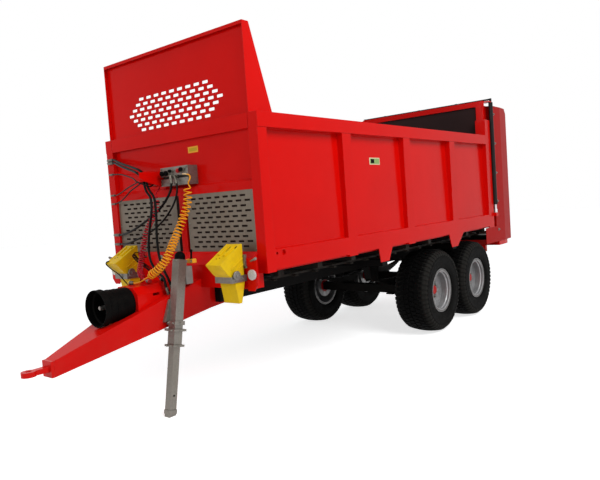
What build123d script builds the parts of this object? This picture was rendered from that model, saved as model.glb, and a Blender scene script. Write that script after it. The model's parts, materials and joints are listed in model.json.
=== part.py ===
from build123d import *
import os
from math import atan2, cos, degrees, hypot, pi, radians, sin, sqrt, tan

# Tandem-axle manure spreader, millimetres.
# Frame: +X is the vehicle's left, -Y is forward (towards the tow eye), +Z is up, and the origin is
# on the ground at the centre of the object's length and width.
# A station s is measured rearwards from the face of the front wall, so y = FRONT_WALL_Y + s.

os.makedirs("parts", exist_ok=True)

# ---- driving dimensions ------------------------------------------------------------------------
# overall
EYE_TIP_S = -1826
REAR_END_S = 6640
FRONT_WALL_Y = -(EYE_TIP_S + REAR_END_S) / 2
SLIDE_GAP = 5                 # working clearance of sliding pieces
SEAT_GAP = 0.3                # clearance of round pieces in their seats

# load body
BODY_HALF = 1225              # outer face of the side posts
WALL_LENGTH = 5536            # front wall to the rear columns
RAIL_TOP_Z, RAIL_LOW_Z = 2850, 2705
RAIL_OUTER_X = BODY_HALF + 6
RAIL_INNER_X = RAIL_OUTER_X - 119
SILL_TOP_Z, SILL_LOW_Z = 1544, 1345
POST_FOOT_Z = 1323
PANEL_HEAD_X = BODY_HALF - 79  # outer face of the leaning side sheet
PANEL_FOOT_X = BODY_HALF - 53
SHEET = 6
POST_PITCH, POST_WIDTH = 1380, 173
POST_COUNT = 3                # full posts behind the corner post
CORNER_WIDTH, CORNER_DEPTH = 118, 130
GUSSETS = (                   # head front, head rear, foot front, foot rear, foot z
    (2004, 2343, 2043, 2236, 1175),
    (3960, 4510, 4050, 4250, 1150),
)
SILL_HOLES = ((154, 15), (251, 29))          # station, radius
SILL_HOLE_Z = 1497
FLOOR_Z = 1345
FLOOR_SHEET = 10

# front wall
SCREEN_TOP_Z, SCREEN_LOW_Z = 2131, 1531
SCREEN_GAP_X = (-52, 119)     # the plain strip between the two screens
WALL_RECESS = 55
RIDGE_TOP_Z = 2211
BEAM_LOW_Z = 1180
BEAM_FRONT_S = -90
BEAM_SHOULDER_Z = 1405
PLATE_SHEET = 8
CORNER_PLATE = (              # (x, z) outline of the left corner plate on the front beam
    (BODY_HALF - 179, 1480), (BODY_HALF - 45, 1480), (BODY_HALF - 45, 1225),
    (BODY_HALF - 95, 1165), (BODY_HALF - 179, 1165))
SCREEN_SHEET = 5
SCREEN_S = 30                 # rear face of the screens
SCREEN_ROWS = 11
SCREEN_ROW_PITCH = 50
SCREEN_SLOT = (78, 20)
SCREEN_SLOT_PITCH = 120

# headboard
HEAD_TOP_Z = 3705
HEAD_HALF = RAIL_INNER_X + 16
HEAD_RECESS = 40
HEAD_RETURN_TOP, HEAD_RETURN_FOOT = 90, 347
HEAD_LIP = 34
SLOT_ROW_COUNT, SLOT_COUNT = 7, 12           # rows, slots in the longest one
SLOT_PITCH, SLOT_ROW_PITCH = 131.5, 56.3
SLOT_SIZE = (86, 31)
SLOT_CENTRE_Z = 3073

# undercarriage
RAIL_X, RAIL_WIDTH = 400, 80  # inner face and width of a chassis rail
CHASSIS_TOP_Z, CHASSIS_LOW_Z = 1200, 1000
CHASSIS_FRONT_S, CHASSIS_REAR_S = 62, 5670
TAIL_TOP_Z = 1110             # top of the rails' tails behind the body
CARRIER_STATIONS = (2140, 4150, 5600)        # wide beams between the gussets
CARRIER_DEPTH, CARRIER_HEIGHT = 120, 80
FLOOR_BEAM_SIZE = (80, 70)    # depth along the machine, height
FLOOR_BEAMS = 9
FLOOR_FRONT_S, FLOOR_REAR_S = 215, 5420

# running gear
AXLE_STATIONS = (3590, 4835)
TYRE_RADIUS = 585
TYRE_WIDTH = 500
TRACK_HALF = BODY_HALF - 200
RIM_RADIUS = 286
RIM_FLANGE = 306
RIM_WIDTH = 440
RIM_SHEET = 12
DISC_INSET = 150              # wheel disc inboard of the outer rim flange
DISC_SHEET = 16
HUB_RADIUS = 108
DRUM_RADIUS, DRUM_WIDTH = 175, 105
HUB_CAP_RADIUS, HUB_CAP_LENGTH = 62, 70
AXLE_BEAM = 120
AXLE_BEAM_HALF = TRACK_HALF - 210
STUB_RADIUS = 42
SPRING_X = 440
SPRING_WIDTH = 80
SPRING_LEAVES, LEAF = 8, 11
SPRING_LENGTH = 1120
SPRING_RADIUS = 2300
SPRING_TAPER = 0.8
SPRING_SEAT = 12

# drawbar and tow eye
DRAWBAR_NOSE = (-1570, 75, 605, 750)         # station, half width, low z, high z
DRAWBAR_ROOT = (0, 395, 950, 1293)
DRAWBAR_TAIL_S = 500
EYE_OUTER, EYE_BORE, EYE_THICK = 62, 25, 45
EYE_Z = 678

# power take-off line
PTO_Z = 1110
PTO_RADIUS = 17.5
PTO_FRONT_S = -1040
BELL_FRONT_S, BELL_REAR_S = -1080, -740
BELL_RADIUS, BELL_SHEET = 175, 6
HOUSING_HALF, HOUSING_TOP_Z = 190, 1262
HOUSING_WAY = 90              # half width of the passage for the shaft
BEARING_PLATE = 18
PTO_COLLAR = 34

# parking jack
JACK_X = 374
JACK_TOP = (-342, 1494)       # station and height of the tube's top on its axis
JACK_COLLAR = (-470, 803)
JACK_OUTER, JACK_WALL, JACK_LEG = 98, 6, 78
JACK_LEG_OVERLAP = 150
JACK_STROKE = 450
JACK_SLEEVE = 150             # the tube's reach below its clamp collar
JACK_COLLARS = (              # height above the clamp collar, size, thickness
    (-JACK_SLEEVE, 136, 20), (0, 150, 22), (60, 124, 40))

# rear door, rams and columns
COLUMN_INNER_X = BODY_HALF - 165
COLUMN_REAR_S = 5740
COLUMN_TOP_Z = 3110
DOOR_S, DOOR_THICK = 5640, 50
DOOR_HALF = BODY_HALF - 50
DOOR_TOP_Z = 3430
DOOR_HEAD, DOOR_STILE = 85, 125
DOOR_FOOT_Z = 1352
DOOR_FOOT = 90
DOOR_STROKE = 1450
RAM_X, RAM_S = BODY_HALF + 15, 5790
RAM_RADIUS, RAM_BORE, RAM_ROD = 35, 20.5, 20
RAM_LOW_Z, RAM_TOP_Z = 1700, 3405
ROD_FOOT_Z = 1560
HOSE_BAR_Z, HOSE_BAR_RADIUS = 3458, 14
HOSE_BAR_CLIPS = (-700, 0, 700)
RAM_LUG = 18                  # thickness of the door's lugs on the rams

# beater unit
SHIELD_FRONT_S, SHIELD_FOLD_S, SHIELD_REAR_S = 5842, 6230, 6600
SHIELD_TOP_Z, SHIELD_LOW_Z = 3360, 1060
SHIELD_NOSE_S = 5370          # front edge of the part below the sill
SHIELD_REAR_X = BODY_HALF - 35
SHIELD_FLANGE_X = BODY_HALF - 85
GEAR_BEAM = (5950, 6370, 990, 1110)          # stations and heights
TOP_BEAM = (6080, 6240, 3180, 3300)
BEATER_X, BEATER_S = 550, 6160
BEATER_TUBE = 110
FLIGHT_RADIUS, BLADE_RADIUS = 395, 470
BEATER_DISC_RADIUS, BEATER_DISC_Z = REAR_END_S - BEATER_S, 1150
BEATER_TOP_Z = 3120
FLIGHT_PITCH, FLIGHT_STEPS = 520, 6
LAMP_BAR = (GEAR_BEAM[1] - 60, GEAR_BEAM[1], 860, 950)
LAMP_BAR_HALF = BODY_HALF - 405
LAMP_WIDTH, LAMP_DEPTH = 300, 20
LAMP_LIP = 25                 # how far a lamp stands above and below its bar
DROP_X, DROP_SHEET = LAMP_BAR_HALF - 60, 10

# floor chain: two conveyors side by side, each two strands and its slats
CHAIN_FRONT_S, CHAIN_REAR_S = 75, 5560
CHAIN_TOP_Z, CHAIN_LOW_Z = FLOOR_Z + 22, 1222
CHAIN_STRAND_X = (110, PANEL_FOOT_X - 162)
CHAIN_WIDTH, CHAIN_THICK = 26, 22
SLAT_X = (50, PANEL_FOOT_X - 82)
SLAT_PITCH, SLAT_DEPTH, SLAT_HEIGHT = 340, 50, 26
CHAIN_SHAFT_HALF, CHAIN_SHAFT_RADIUS = PANEL_FOOT_X - 32, 25

# slant and length of the jack's tube
JACK_LEAN = atan2(JACK_TOP[0] - JACK_COLLAR[0], JACK_TOP[1] - JACK_COLLAR[1])
JACK_TUBE = hypot(JACK_TOP[0] - JACK_COLLAR[0], JACK_TOP[1] - JACK_COLLAR[1])

# chocks, reflectors, arm and junction block
CHOCK_X = (BODY_HALF - 405, -BODY_HALF + 405)
CHOCK_WIDTH = 200
CHOCK_SIDE = ((-112, 1618), (-410, 1445), (-322, 1345), (-245, 1285), (-205, 1060), (-165, 1060),
              (-112, 1250))
STRAP = (1262, 1322)
STRAP_FRONT_S = -290
STRAP_OUT, STRAP_GAP = 14, 2  # outer and inner face of a strap from its chock
REFLECTOR = (BODY_HALF - 107, 1322, 50)
ARM_X = (-256, -150)
ARM_TIP_S, ARM_FLOOR_Z = -350, 2290
ARM_ROOT_Z, ARM_TOP_Z = 2248, 2404
ARM_FLOOR_S, ARM_FLOOR_LIP = -110, 44        # front edge of its floor, height of the lip there
ARM_KNEE_S, ARM_KNEE_Z, ARM_KNEE_TOP_Z = -285, 2300, 2325
COUPLING_RADIUS = 21.7
COUPLING_Z = HOUSING_TOP_Z + SEAT_GAP + COUPLING_RADIUS
BLOCK_X = (-150, 292)
BLOCK_Z = (2240, 2435)


# ---- helpers -----------------------------------------------------------------------------------
def at(x, s, z):
    """Point of the model from a station instead of a y."""
    return Vector(x, FRONT_WALL_Y + s, z)


def block(x0, x1, s0, s1, z0, z1):
    """Box between two corners."""
    centre = at((x0 + x1) / 2, (s0 + s1) / 2, (z0 + z1) / 2)
    return Pos(*centre) * Box(abs(x1 - x0), abs(s1 - s0), abs(z1 - z0))


def side_plate(points, x0, x1):
    """Plate between x0 and x1 whose outline is given as (s, z) points."""
    plane = Plane(origin=at(x0, 0, 0), x_dir=(0, 1, 0), z_dir=(1, 0, 0))
    return extrude(plane * Polygon(*points, align=None), amount=x1 - x0, dir=(1, 0, 0))


def cross_plate(points, s0, s1):
    """Plate between stations s0 and s1 whose outline is given as (x, z) points."""
    plane = Plane(origin=at(0, s1, 0), x_dir=(1, 0, 0), z_dir=(0, -1, 0))
    return extrude(plane * Polygon(*points, align=None), amount=s1 - s0, dir=(0, -1, 0))


def level_plate(points, z0, z1):
    """Plate between two heights whose outline is given as (x, s) points."""
    plane = Plane(origin=at(0, 0, z0), x_dir=(1, 0, 0), z_dir=(0, 0, 1))
    return extrude(plane * Polygon(*points, align=None), amount=z1 - z0, dir=(0, 0, 1))


def bar(start, end, radius):
    """Round bar between two points."""
    axis = end - start
    return extrude(Plane(origin=start, z_dir=axis) * Circle(radius), amount=axis.length)


def turned(points, origin, axis):
    """Solid turned about an axis from (radius, distance along the axis) points."""
    plane = Plane(origin=origin, x_dir=Vector(0, 0, 1), z_dir=axis.cross(Vector(0, 0, 1)) * -1)
    face = plane * Polygon(*points, align=None)
    return revolve(face, Axis(origin, axis))


def both_sides(shape):
    """The shape and its mirror image, which don't touch."""
    return Compound([*shape.solids(), *mirror(shape, about=Plane.YZ).solids()])


def save(node, shape):
    """Write one node."""
    export_step(shape, f"parts/{node}.step")


def save_sides(node, left):
    """Write the left piece and its mirror image as two nodes."""
    save(f"{node}_left", left)
    save(f"{node}_right", mirror(left, about=Plane.YZ))


# ---- load body ---------------------------------------------------------------------------------
def panel_x(z):
    """Outer face of the leaning side sheet at a height."""
    share = (z - POST_FOOT_Z) / (RAIL_TOP_Z - POST_FOOT_Z)
    return PANEL_FOOT_X + (PANEL_HEAD_X - PANEL_FOOT_X) * share


def post(s0, s1):
    """Upright post from the sheet out to the body's face."""
    outline = [(panel_x(RAIL_LOW_Z), RAIL_LOW_Z), (BODY_HALF, RAIL_LOW_Z),
               (BODY_HALF, POST_FOOT_Z), (panel_x(POST_FOOT_Z), POST_FOOT_Z)]
    return cross_plate(outline, s0, s1)


def side_wall():
    """Left side: sheet, rail, sill, corner post, posts and gussets."""
    wall = cross_plate([(panel_x(RAIL_TOP_Z), RAIL_TOP_Z), (panel_x(POST_FOOT_Z), POST_FOOT_Z),
                        (panel_x(POST_FOOT_Z) - SHEET, POST_FOOT_Z),
                        (panel_x(RAIL_TOP_Z) - SHEET, RAIL_TOP_Z)], 0, WALL_LENGTH)
    wall += block(RAIL_INNER_X, RAIL_OUTER_X, 0, WALL_LENGTH, RAIL_LOW_Z, RAIL_TOP_Z)
    wall += cross_plate([(panel_x(SILL_TOP_Z), SILL_TOP_Z), (BODY_HALF, SILL_TOP_Z - 8),
                         (BODY_HALF, SILL_LOW_Z), (panel_x(SILL_LOW_Z), SILL_LOW_Z)],
                        0, WALL_LENGTH)
    wall += block(BODY_HALF - CORNER_WIDTH, BODY_HALF, 0, CORNER_DEPTH, POST_FOOT_Z, RAIL_LOW_Z)
    for number in range(1, POST_COUNT + 1):
        wall += post(number * POST_PITCH, number * POST_PITCH + POST_WIDTH)
    for head_front, head_rear, foot_front, foot_rear, foot_z in GUSSETS:
        wall += side_plate([(head_front, SILL_LOW_Z + 20), (head_rear, SILL_LOW_Z + 20),
                            (foot_rear, foot_z), (foot_front, foot_z)],
                           BODY_HALF - 10, BODY_HALF)
    for station, radius in SILL_HOLES:
        wall -= bar(at(BODY_HALF - 25, station, SILL_HOLE_Z), at(BODY_HALF + 5, station, SILL_HOLE_Z),
                    radius)
    return wall


def front_wall():
    """Front wall between the corner posts, open behind the screens."""
    inner = BODY_HALF - CORNER_WIDTH
    rear = WALL_RECESS + SHEET
    wall = block(-inner, inner, 0, rear + 30, RAIL_LOW_Z, RAIL_TOP_Z)
    wall += block(-inner, inner, WALL_RECESS, rear, RIDGE_TOP_Z, RAIL_LOW_Z)
    wall += side_plate([(WALL_RECESS, RIDGE_TOP_Z + 25), (22, RIDGE_TOP_Z), (22, SCREEN_TOP_Z),
                        (rear, SCREEN_TOP_Z), (rear, RIDGE_TOP_Z + 25)], -inner, inner)
    wall += side_plate([(0, SCREEN_LOW_Z), (BEAM_FRONT_S, BEAM_SHOULDER_Z),
                        (BEAM_FRONT_S, BEAM_LOW_Z), (rear, BEAM_LOW_Z), (rear, SCREEN_LOW_Z)],
                       -inner, inner)
    plate = cross_plate(CORNER_PLATE, BEAM_FRONT_S - PLATE_SHEET, BEAM_FRONT_S)
    wall += [plate, mirror(plate, about=Plane.YZ)]
    for x in (-inner, sum(SCREEN_GAP_X) / 2 - 45, inner - 40):
        width = 90 if abs(x) < inner / 2 else 40
        wall += block(x, x + width, SCREEN_S, rear, SCREEN_LOW_Z, SCREEN_TOP_Z)
    return wall


def slot_field(rows, pitch, row_pitch, centre_z, stagger):
    """Places (x, z) of a field of slots, every second row shifted by half a stagger each way."""
    places = []
    for row, count in enumerate(rows):
        z = centre_z + ((len(rows) - 1) / 2 - row) * row_pitch
        shift = (row % 2 - 0.5) * stagger
        places += [((number - (count - 1) / 2) * pitch + shift, z) for number in range(count)]
    return places


def pierced(x0, x1, z0, z1, places, size, s0, s1):
    """Upright sheet with rounded slots at the places, given as (x, z)."""
    sheet = Pos((x0 + x1) / 2, (z0 + z1) / 2) * Rectangle(x1 - x0, z1 - z0)
    slots = [Pos(x, z) * RectangleRounded(*size, size[1] * 0.3) for x, z in places]
    plane = Plane(origin=at(0, s1, 0), x_dir=(1, 0, 0), z_dir=(0, -1, 0))
    return extrude(plane * (sheet - slots), amount=s1 - s0, dir=(0, -1, 0))


def screen(x0, x1):
    """Perforated plate in front of the wall's opening."""
    middle = (x0 + x1) / 2
    count = int((x1 - x0 - SCREEN_SLOT_PITCH) // SCREEN_SLOT_PITCH)
    field = slot_field([count] * SCREEN_ROWS, SCREEN_SLOT_PITCH, SCREEN_ROW_PITCH,
                       (SCREEN_TOP_Z + SCREEN_LOW_Z) / 2, SCREEN_SLOT_PITCH / 2)
    return pierced(x0, x1, SCREEN_LOW_Z, SCREEN_TOP_Z, [(middle + x, z) for x, z in field],
                   SCREEN_SLOT, SCREEN_S - SCREEN_SHEET, SCREEN_S)


def headboard():
    """Upright board on the front wall, with a lip, tapering returns and a field of slots."""
    low = RAIL_TOP_Z
    rows = [SLOT_COUNT - abs(row - SLOT_ROW_COUNT // 2) for row in range(SLOT_ROW_COUNT)]
    board = pierced(-HEAD_HALF + SHEET, HEAD_HALF - SHEET, low, HEAD_TOP_Z - SHEET,
                    slot_field(rows, SLOT_PITCH, SLOT_ROW_PITCH, SLOT_CENTRE_Z, 0),
                    SLOT_SIZE, HEAD_RECESS, HEAD_RECESS + SHEET)
    board += block(-HEAD_HALF, HEAD_HALF, 0, HEAD_RETURN_TOP, HEAD_TOP_Z - SHEET, HEAD_TOP_Z)
    board += block(-HEAD_HALF, HEAD_HALF, 0, SHEET, HEAD_TOP_Z - HEAD_LIP, HEAD_TOP_Z)
    for side in (-1, 1):
        board += side_plate([(0, low), (0, HEAD_TOP_Z), (HEAD_RETURN_TOP, HEAD_TOP_Z),
                             (HEAD_RETURN_FOOT, low)],
                            side * HEAD_HALF, side * (HEAD_HALF - SHEET))
    board += block(-HEAD_HALF + SHEET, HEAD_HALF - SHEET, HEAD_RECESS, HEAD_RECESS + 40,
                   low, low + SHEET)
    return board


def floor():
    """Floor sheet on its cross beams, which the chain runs round."""
    depth, height = FLOOR_BEAM_SIZE
    low = FLOOR_Z - FLOOR_SHEET
    half = PANEL_FOOT_X - SHEET - 0.5
    deck = block(-half, half, FLOOR_FRONT_S, FLOOR_REAR_S, low, FLOOR_Z)
    pitch = (FLOOR_REAR_S - FLOOR_FRONT_S - depth) / (FLOOR_BEAMS - 1)
    for number in range(FLOOR_BEAMS):
        station = FLOOR_FRONT_S + number * pitch
        deck += block(-half, half, station, station + depth, low - height, low)
    return deck


def stadium_ring(s0, s1, z0, z1, thickness, x0, x1):
    """Closed chain strand seen from the side as a ring with round ends."""
    radius = (z1 - z0) / 2
    plane = Plane(origin=at(x0, 0, 0), x_dir=(0, 1, 0), z_dir=(1, 0, 0))
    centre = Pos((s0 + s1) / 2, (z0 + z1) / 2)
    outer = centre * SlotOverall(s1 - s0, 2 * radius)
    inner = centre * SlotOverall(s1 - s0 - 2 * thickness, 2 * (radius - thickness))
    return extrude(plane * (outer - inner), amount=x1 - x0)


def conveyor():
    """Left conveyor: two closed strands and the slats across them."""
    chain = None
    for x in CHAIN_STRAND_X:
        ring = stadium_ring(CHAIN_FRONT_S, CHAIN_REAR_S, CHAIN_LOW_Z, CHAIN_TOP_Z, CHAIN_THICK,
                            x, x + CHAIN_WIDTH)
        chain = ring if chain is None else chain + ring
    station = CHAIN_FRONT_S + 150
    while station < CHAIN_REAR_S - 150:
        chain += block(*SLAT_X, station, station + SLAT_DEPTH, CHAIN_TOP_Z - 4,
                       CHAIN_TOP_Z - 4 + SLAT_HEIGHT)
        chain += block(*SLAT_X, station, station + SLAT_DEPTH, CHAIN_LOW_Z + 4 - SLAT_HEIGHT + 12,
                       CHAIN_LOW_Z + 4)
        station += SLAT_PITCH
    return chain


def chain_shafts():
    """Front and rear shafts with their sprockets inside the strands."""
    z = (CHAIN_TOP_Z + CHAIN_LOW_Z) / 2
    sprocket = (CHAIN_TOP_Z - CHAIN_LOW_Z) / 2 - CHAIN_THICK - SEAT_GAP
    shafts = []
    for station in (CHAIN_FRONT_S + (CHAIN_TOP_Z - CHAIN_LOW_Z) / 2,
                    CHAIN_REAR_S - (CHAIN_TOP_Z - CHAIN_LOW_Z) / 2):
        shaft = bar(at(-CHAIN_SHAFT_HALF, station, z), at(CHAIN_SHAFT_HALF, station, z),
                    CHAIN_SHAFT_RADIUS)
        for x in CHAIN_STRAND_X:
            for low in (x, -x - CHAIN_WIDTH):
                shaft += bar(at(low, station, z), at(low + CHAIN_WIDTH, station, z), sprocket)
        shafts += shaft.solids()
    return Compound(shafts)


# ---- undercarriage -----------------------------------------------------------------------------
def chassis_rail():
    """Left chassis rail."""
    rail = block(RAIL_X, RAIL_X + RAIL_WIDTH, CHASSIS_FRONT_S, CHASSIS_REAR_S,
                 CHASSIS_LOW_Z, CHASSIS_TOP_Z)
    return rail + block(RAIL_X, RAIL_X + RAIL_WIDTH, CHASSIS_REAR_S, GEAR_BEAM[0],
                        CHASSIS_LOW_Z, TAIL_TOP_Z)


def carriers():
    """Wide beams between the gussets, each notched over the chassis rails."""
    beams = []
    for station in CARRIER_STATIONS:
        low = CHASSIS_TOP_Z - CARRIER_HEIGHT
        beam = block(-BODY_HALF + 10, BODY_HALF - 10, station - CARRIER_DEPTH / 2,
                     station + CARRIER_DEPTH / 2, low, CHASSIS_TOP_Z)
        for x in (RAIL_X, -RAIL_X - RAIL_WIDTH):
            beam -= block(x, x + RAIL_WIDTH, station - CARRIER_DEPTH, station + CARRIER_DEPTH,
                          low - 5, CHASSIS_TOP_Z + 5)
        beams += beam.solids()
    return Compound(beams)


def spring(axle_s):
    """Left leaf spring over an axle, its leaves bundled into one solid."""
    low = TYRE_RADIUS + AXLE_BEAM / 2 + SPRING_SEAT
    side = None
    for leaf in range(SPRING_LEAVES):
        length = SPRING_LENGTH * (1 - SPRING_TAPER * (SPRING_LEAVES - 1 - leaf) / SPRING_LEAVES)
        inner = SPRING_RADIUS - (leaf + 1) * LEAF
        ring = Pos(axle_s, low + SPRING_RADIUS) * (Circle(inner + LEAF) - Circle(inner))
        ring &= Pos(axle_s, low + SPRING_RADIUS / 4) * Rectangle(length, SPRING_RADIUS)
        side = ring if side is None else side + ring
    plane = Plane(origin=at(SPRING_X - SPRING_WIDTH / 2, 0, 0), x_dir=(0, 1, 0), z_dir=(1, 0, 0))
    return extrude(plane * side, amount=SPRING_WIDTH)


def spring_end_z():
    """Top of the main leaf at its end, the spring's highest point."""
    drop = sqrt((SPRING_RADIUS - SPRING_LEAVES * LEAF) ** 2 - (SPRING_LENGTH / 2) ** 2)
    return TYRE_RADIUS + AXLE_BEAM / 2 + SPRING_SEAT + SPRING_RADIUS - drop


def hangers():
    """Left spring hangers: a slipper box under the rail over each end of the springs."""
    middle = sum(AXLE_STATIONS) / 2
    ends = (AXLE_STATIONS[0] - SPRING_LENGTH / 2, AXLE_STATIONS[1] + SPRING_LENGTH / 2)
    boxes = None
    for station, depth in ((ends[0], 150), (middle, 330), (ends[1], 150)):
        low = spring_end_z() - 40
        plate = side_plate([(station - depth / 2 - 60, CHASSIS_LOW_Z),
                            (station + depth / 2 + 60, CHASSIS_LOW_Z),
                            (station + depth / 2, low), (station - depth / 2, low)],
                           SPRING_X - SPRING_WIDTH / 2 - 14, SPRING_X + SPRING_WIDTH / 2 + 14)
        plate -= block(SPRING_X - SPRING_WIDTH / 2 - SEAT_GAP, SPRING_X + SPRING_WIDTH / 2 + SEAT_GAP,
                       station - depth, station + depth, low - 5, spring_end_z() + SEAT_GAP)
        boxes = plate if boxes is None else boxes + plate
    return boxes


def axle(axle_s):
    """Square axle beam with its stubs, spring seats and pads."""
    z = TYRE_RADIUS
    beam = block(-AXLE_BEAM_HALF, AXLE_BEAM_HALF, axle_s - AXLE_BEAM / 2, axle_s + AXLE_BEAM / 2,
                 z - AXLE_BEAM / 2, z + AXLE_BEAM / 2)
    reach = disc_x() + 25
    beam += bar(at(-reach, axle_s, z), at(reach, axle_s, z), STUB_RADIUS)
    for x in (SPRING_X, -SPRING_X):
        beam += block(x - SPRING_WIDTH / 2 - 20, x + SPRING_WIDTH / 2 + 20, axle_s - 90,
                      axle_s + 90, z + AXLE_BEAM / 2, z + AXLE_BEAM / 2 + SPRING_SEAT)
        beam += block(x - SPRING_WIDTH / 2 - 20, x + SPRING_WIDTH / 2 + 20, axle_s - 90,
                      axle_s + 90, z - AXLE_BEAM / 2 - 20, z - AXLE_BEAM / 2)
    return beam


# ---- wheels ------------------------------------------------------------------------------------
def flange_x():
    """Outer rim flange of a left wheel."""
    return TRACK_HALF + RIM_WIDTH / 2


def disc_x():
    """Outer face of the wheel disc of a left wheel."""
    return flange_x() - DISC_INSET


def wheel_axis(axle_s):
    """Origin and direction for turning a left wheel's pieces, distances counted from x = 0."""
    return at(0, axle_s, TYRE_RADIUS), Vector(1, 0, 0)


def tyre(axle_s):
    """Left tyre with a rounded tread and bulging walls."""
    inner, outer = TRACK_HALF - TYRE_WIDTH / 2, TRACK_HALF + TYRE_WIDTH / 2
    rim_in, rim_out = TRACK_HALF - RIM_WIDTH / 2 + RIM_SHEET, flange_x() - RIM_SHEET
    seat = RIM_RADIUS + SEAT_GAP
    wall = (TYRE_RADIUS + seat) / 2
    points = [
        (seat, rim_in), (RIM_FLANGE + 6, rim_in), (RIM_FLANGE + 14, inner + 14), (wall, inner),
        (TYRE_RADIUS - 62, inner + 8), (TYRE_RADIUS - 22, inner + 48),
        (TYRE_RADIUS - 6, TRACK_HALF - 110), (TYRE_RADIUS, TRACK_HALF - 40),
    ]
    mirrored = [(radius, 2 * TRACK_HALF - x) for radius, x in reversed(points)]
    mirrored[-1] = (seat, rim_out)
    return turned(points + mirrored, *wheel_axis(axle_s))


def rim(axle_s):
    """Left rim: flanges, barrel and the deep-set disc in one turning."""
    inner, outer = TRACK_HALF - RIM_WIDTH / 2, flange_x()
    well = RIM_RADIUS - RIM_SHEET
    face = disc_x()
    points = [
        (RIM_RADIUS, inner + RIM_SHEET), (RIM_FLANGE, inner + RIM_SHEET), (RIM_FLANGE, inner),
        (well, inner), (well, face - DISC_SHEET), (HUB_RADIUS + 62, face - DISC_SHEET - 28),
        (HUB_RADIUS - 10, face - DISC_SHEET - 28), (HUB_RADIUS - 10, face - 28),
        (HUB_RADIUS + 70, face - 28), (well, face + 6), (well, outer),
        (RIM_FLANGE, outer), (RIM_FLANGE, outer - RIM_SHEET), (RIM_RADIUS, outer - RIM_SHEET),
    ]
    return turned(points, *wheel_axis(axle_s))


def hub(axle_s):
    """Left hub with its brake drum and cap, bored for the stub."""
    face = disc_x() - 28
    drum = AXLE_BEAM_HALF + 2 * SLIDE_GAP
    bore = STUB_RADIUS + SEAT_GAP
    cap = face + HUB_CAP_LENGTH
    stub_end = disc_x() + 25 + SLIDE_GAP
    points = [
        (bore, drum), (DRUM_RADIUS, drum), (DRUM_RADIUS, drum + DRUM_WIDTH),
        (HUB_RADIUS, drum + DRUM_WIDTH), (HUB_RADIUS, face + 8), (HUB_CAP_RADIUS + 12, face + 14),
        (HUB_CAP_RADIUS, face + 20), (HUB_CAP_RADIUS, cap - 10), (HUB_CAP_RADIUS - 10, cap),
        (0, cap), (0, stub_end), (bore, stub_end),
    ]
    return turned(points, *wheel_axis(axle_s))


# ---- drawbar, eye and driveline ----------------------------------------------------------------
def drawbar_section(station, half, low, high):
    """Upright rectangle across the drawbar."""
    plane = Plane(origin=at(0, station, (low + high) / 2), x_dir=(1, 0, 0), z_dir=(0, -1, 0))
    return plane * Rectangle(2 * half, high - low)


def drawbar():
    """Tapered box from the eye to the chassis, with a tail between the rails."""
    box = loft([drawbar_section(*DRAWBAR_NOSE), drawbar_section(*DRAWBAR_ROOT)], ruled=True)
    station, half, low, high = DRAWBAR_ROOT
    tail = side_plate([(station, low), (station, BEAM_LOW_Z), (DRAWBAR_TAIL_S, BEAM_LOW_Z),
                       (DRAWBAR_TAIL_S, CHASSIS_LOW_Z)], -half, half)
    bell = bar(at(0, BELL_FRONT_S - 20, PTO_Z), at(0, BELL_REAR_S, PTO_Z),
               BELL_RADIUS + SLIDE_GAP)
    return box + tail - beam_envelope() - bell


def beam_envelope():
    """Space of the front wall's lower beam, which the drawbar is notched for."""
    return block(-BODY_HALF, BODY_HALF, BEAM_FRONT_S, DRAWBAR_TAIL_S, BEAM_LOW_Z,
                 BEAM_LOW_Z + 400)


def tow_eye():
    """Ring with an upright bore and a shank bolted to the drawbar's face."""
    nose_s, half, low, high = DRAWBAR_NOSE
    centre_s = EYE_TIP_S + EYE_OUTER
    ring = bar(at(0, centre_s, EYE_Z - EYE_THICK / 2), at(0, centre_s, EYE_Z + EYE_THICK / 2),
               EYE_OUTER)
    shank = level_plate([(-28, centre_s), (28, centre_s), (42, nose_s - 30), (-42, nose_s - 30)],
                        EYE_Z - EYE_THICK / 2, EYE_Z + EYE_THICK / 2)
    flange = block(-half, half, nose_s - 30, nose_s, low, high)
    bore = bar(at(0, centre_s, EYE_Z - EYE_THICK), at(0, centre_s, EYE_Z + EYE_THICK), EYE_BORE)
    return ring + shank + flange - bore


def housing():
    """Arched cover over the driveline, standing on the drawbar."""
    half, top = HOUSING_HALF, HOUSING_TOP_Z
    crown = 70
    outline = [(-half, 700), (-half, top - crown), (-half + crown, top), (half - crown, top),
               (half, top - crown), (half, 700)]
    shell = cross_plate(outline, BELL_REAR_S, BEAM_FRONT_S)
    way = HOUSING_WAY
    shaft_way = cross_plate([(-way, PTO_Z - way), (-way, PTO_Z + way), (way, PTO_Z + way),
                             (way, PTO_Z - way)], BELL_REAR_S + BEARING_PLATE, BEAM_FRONT_S + 5)
    shaft_way += bar(at(0, BELL_REAR_S - 5, PTO_Z), at(0, BELL_REAR_S + 2 * BEARING_PLATE, PTO_Z),
                     PTO_COLLAR + SEAT_GAP)
    slot = block(-half - 5, half + 5, -560, -480, top - 105, top - 80)
    cover = shell - slot - shaft_way - drawbar_hull()
    return cover.solids().sort_by(Axis.Z)[-1]


def drawbar_hull():
    """The drawbar before it is notched."""
    return loft([drawbar_section(*DRAWBAR_NOSE), drawbar_section(*DRAWBAR_ROOT)], ruled=True)


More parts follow.
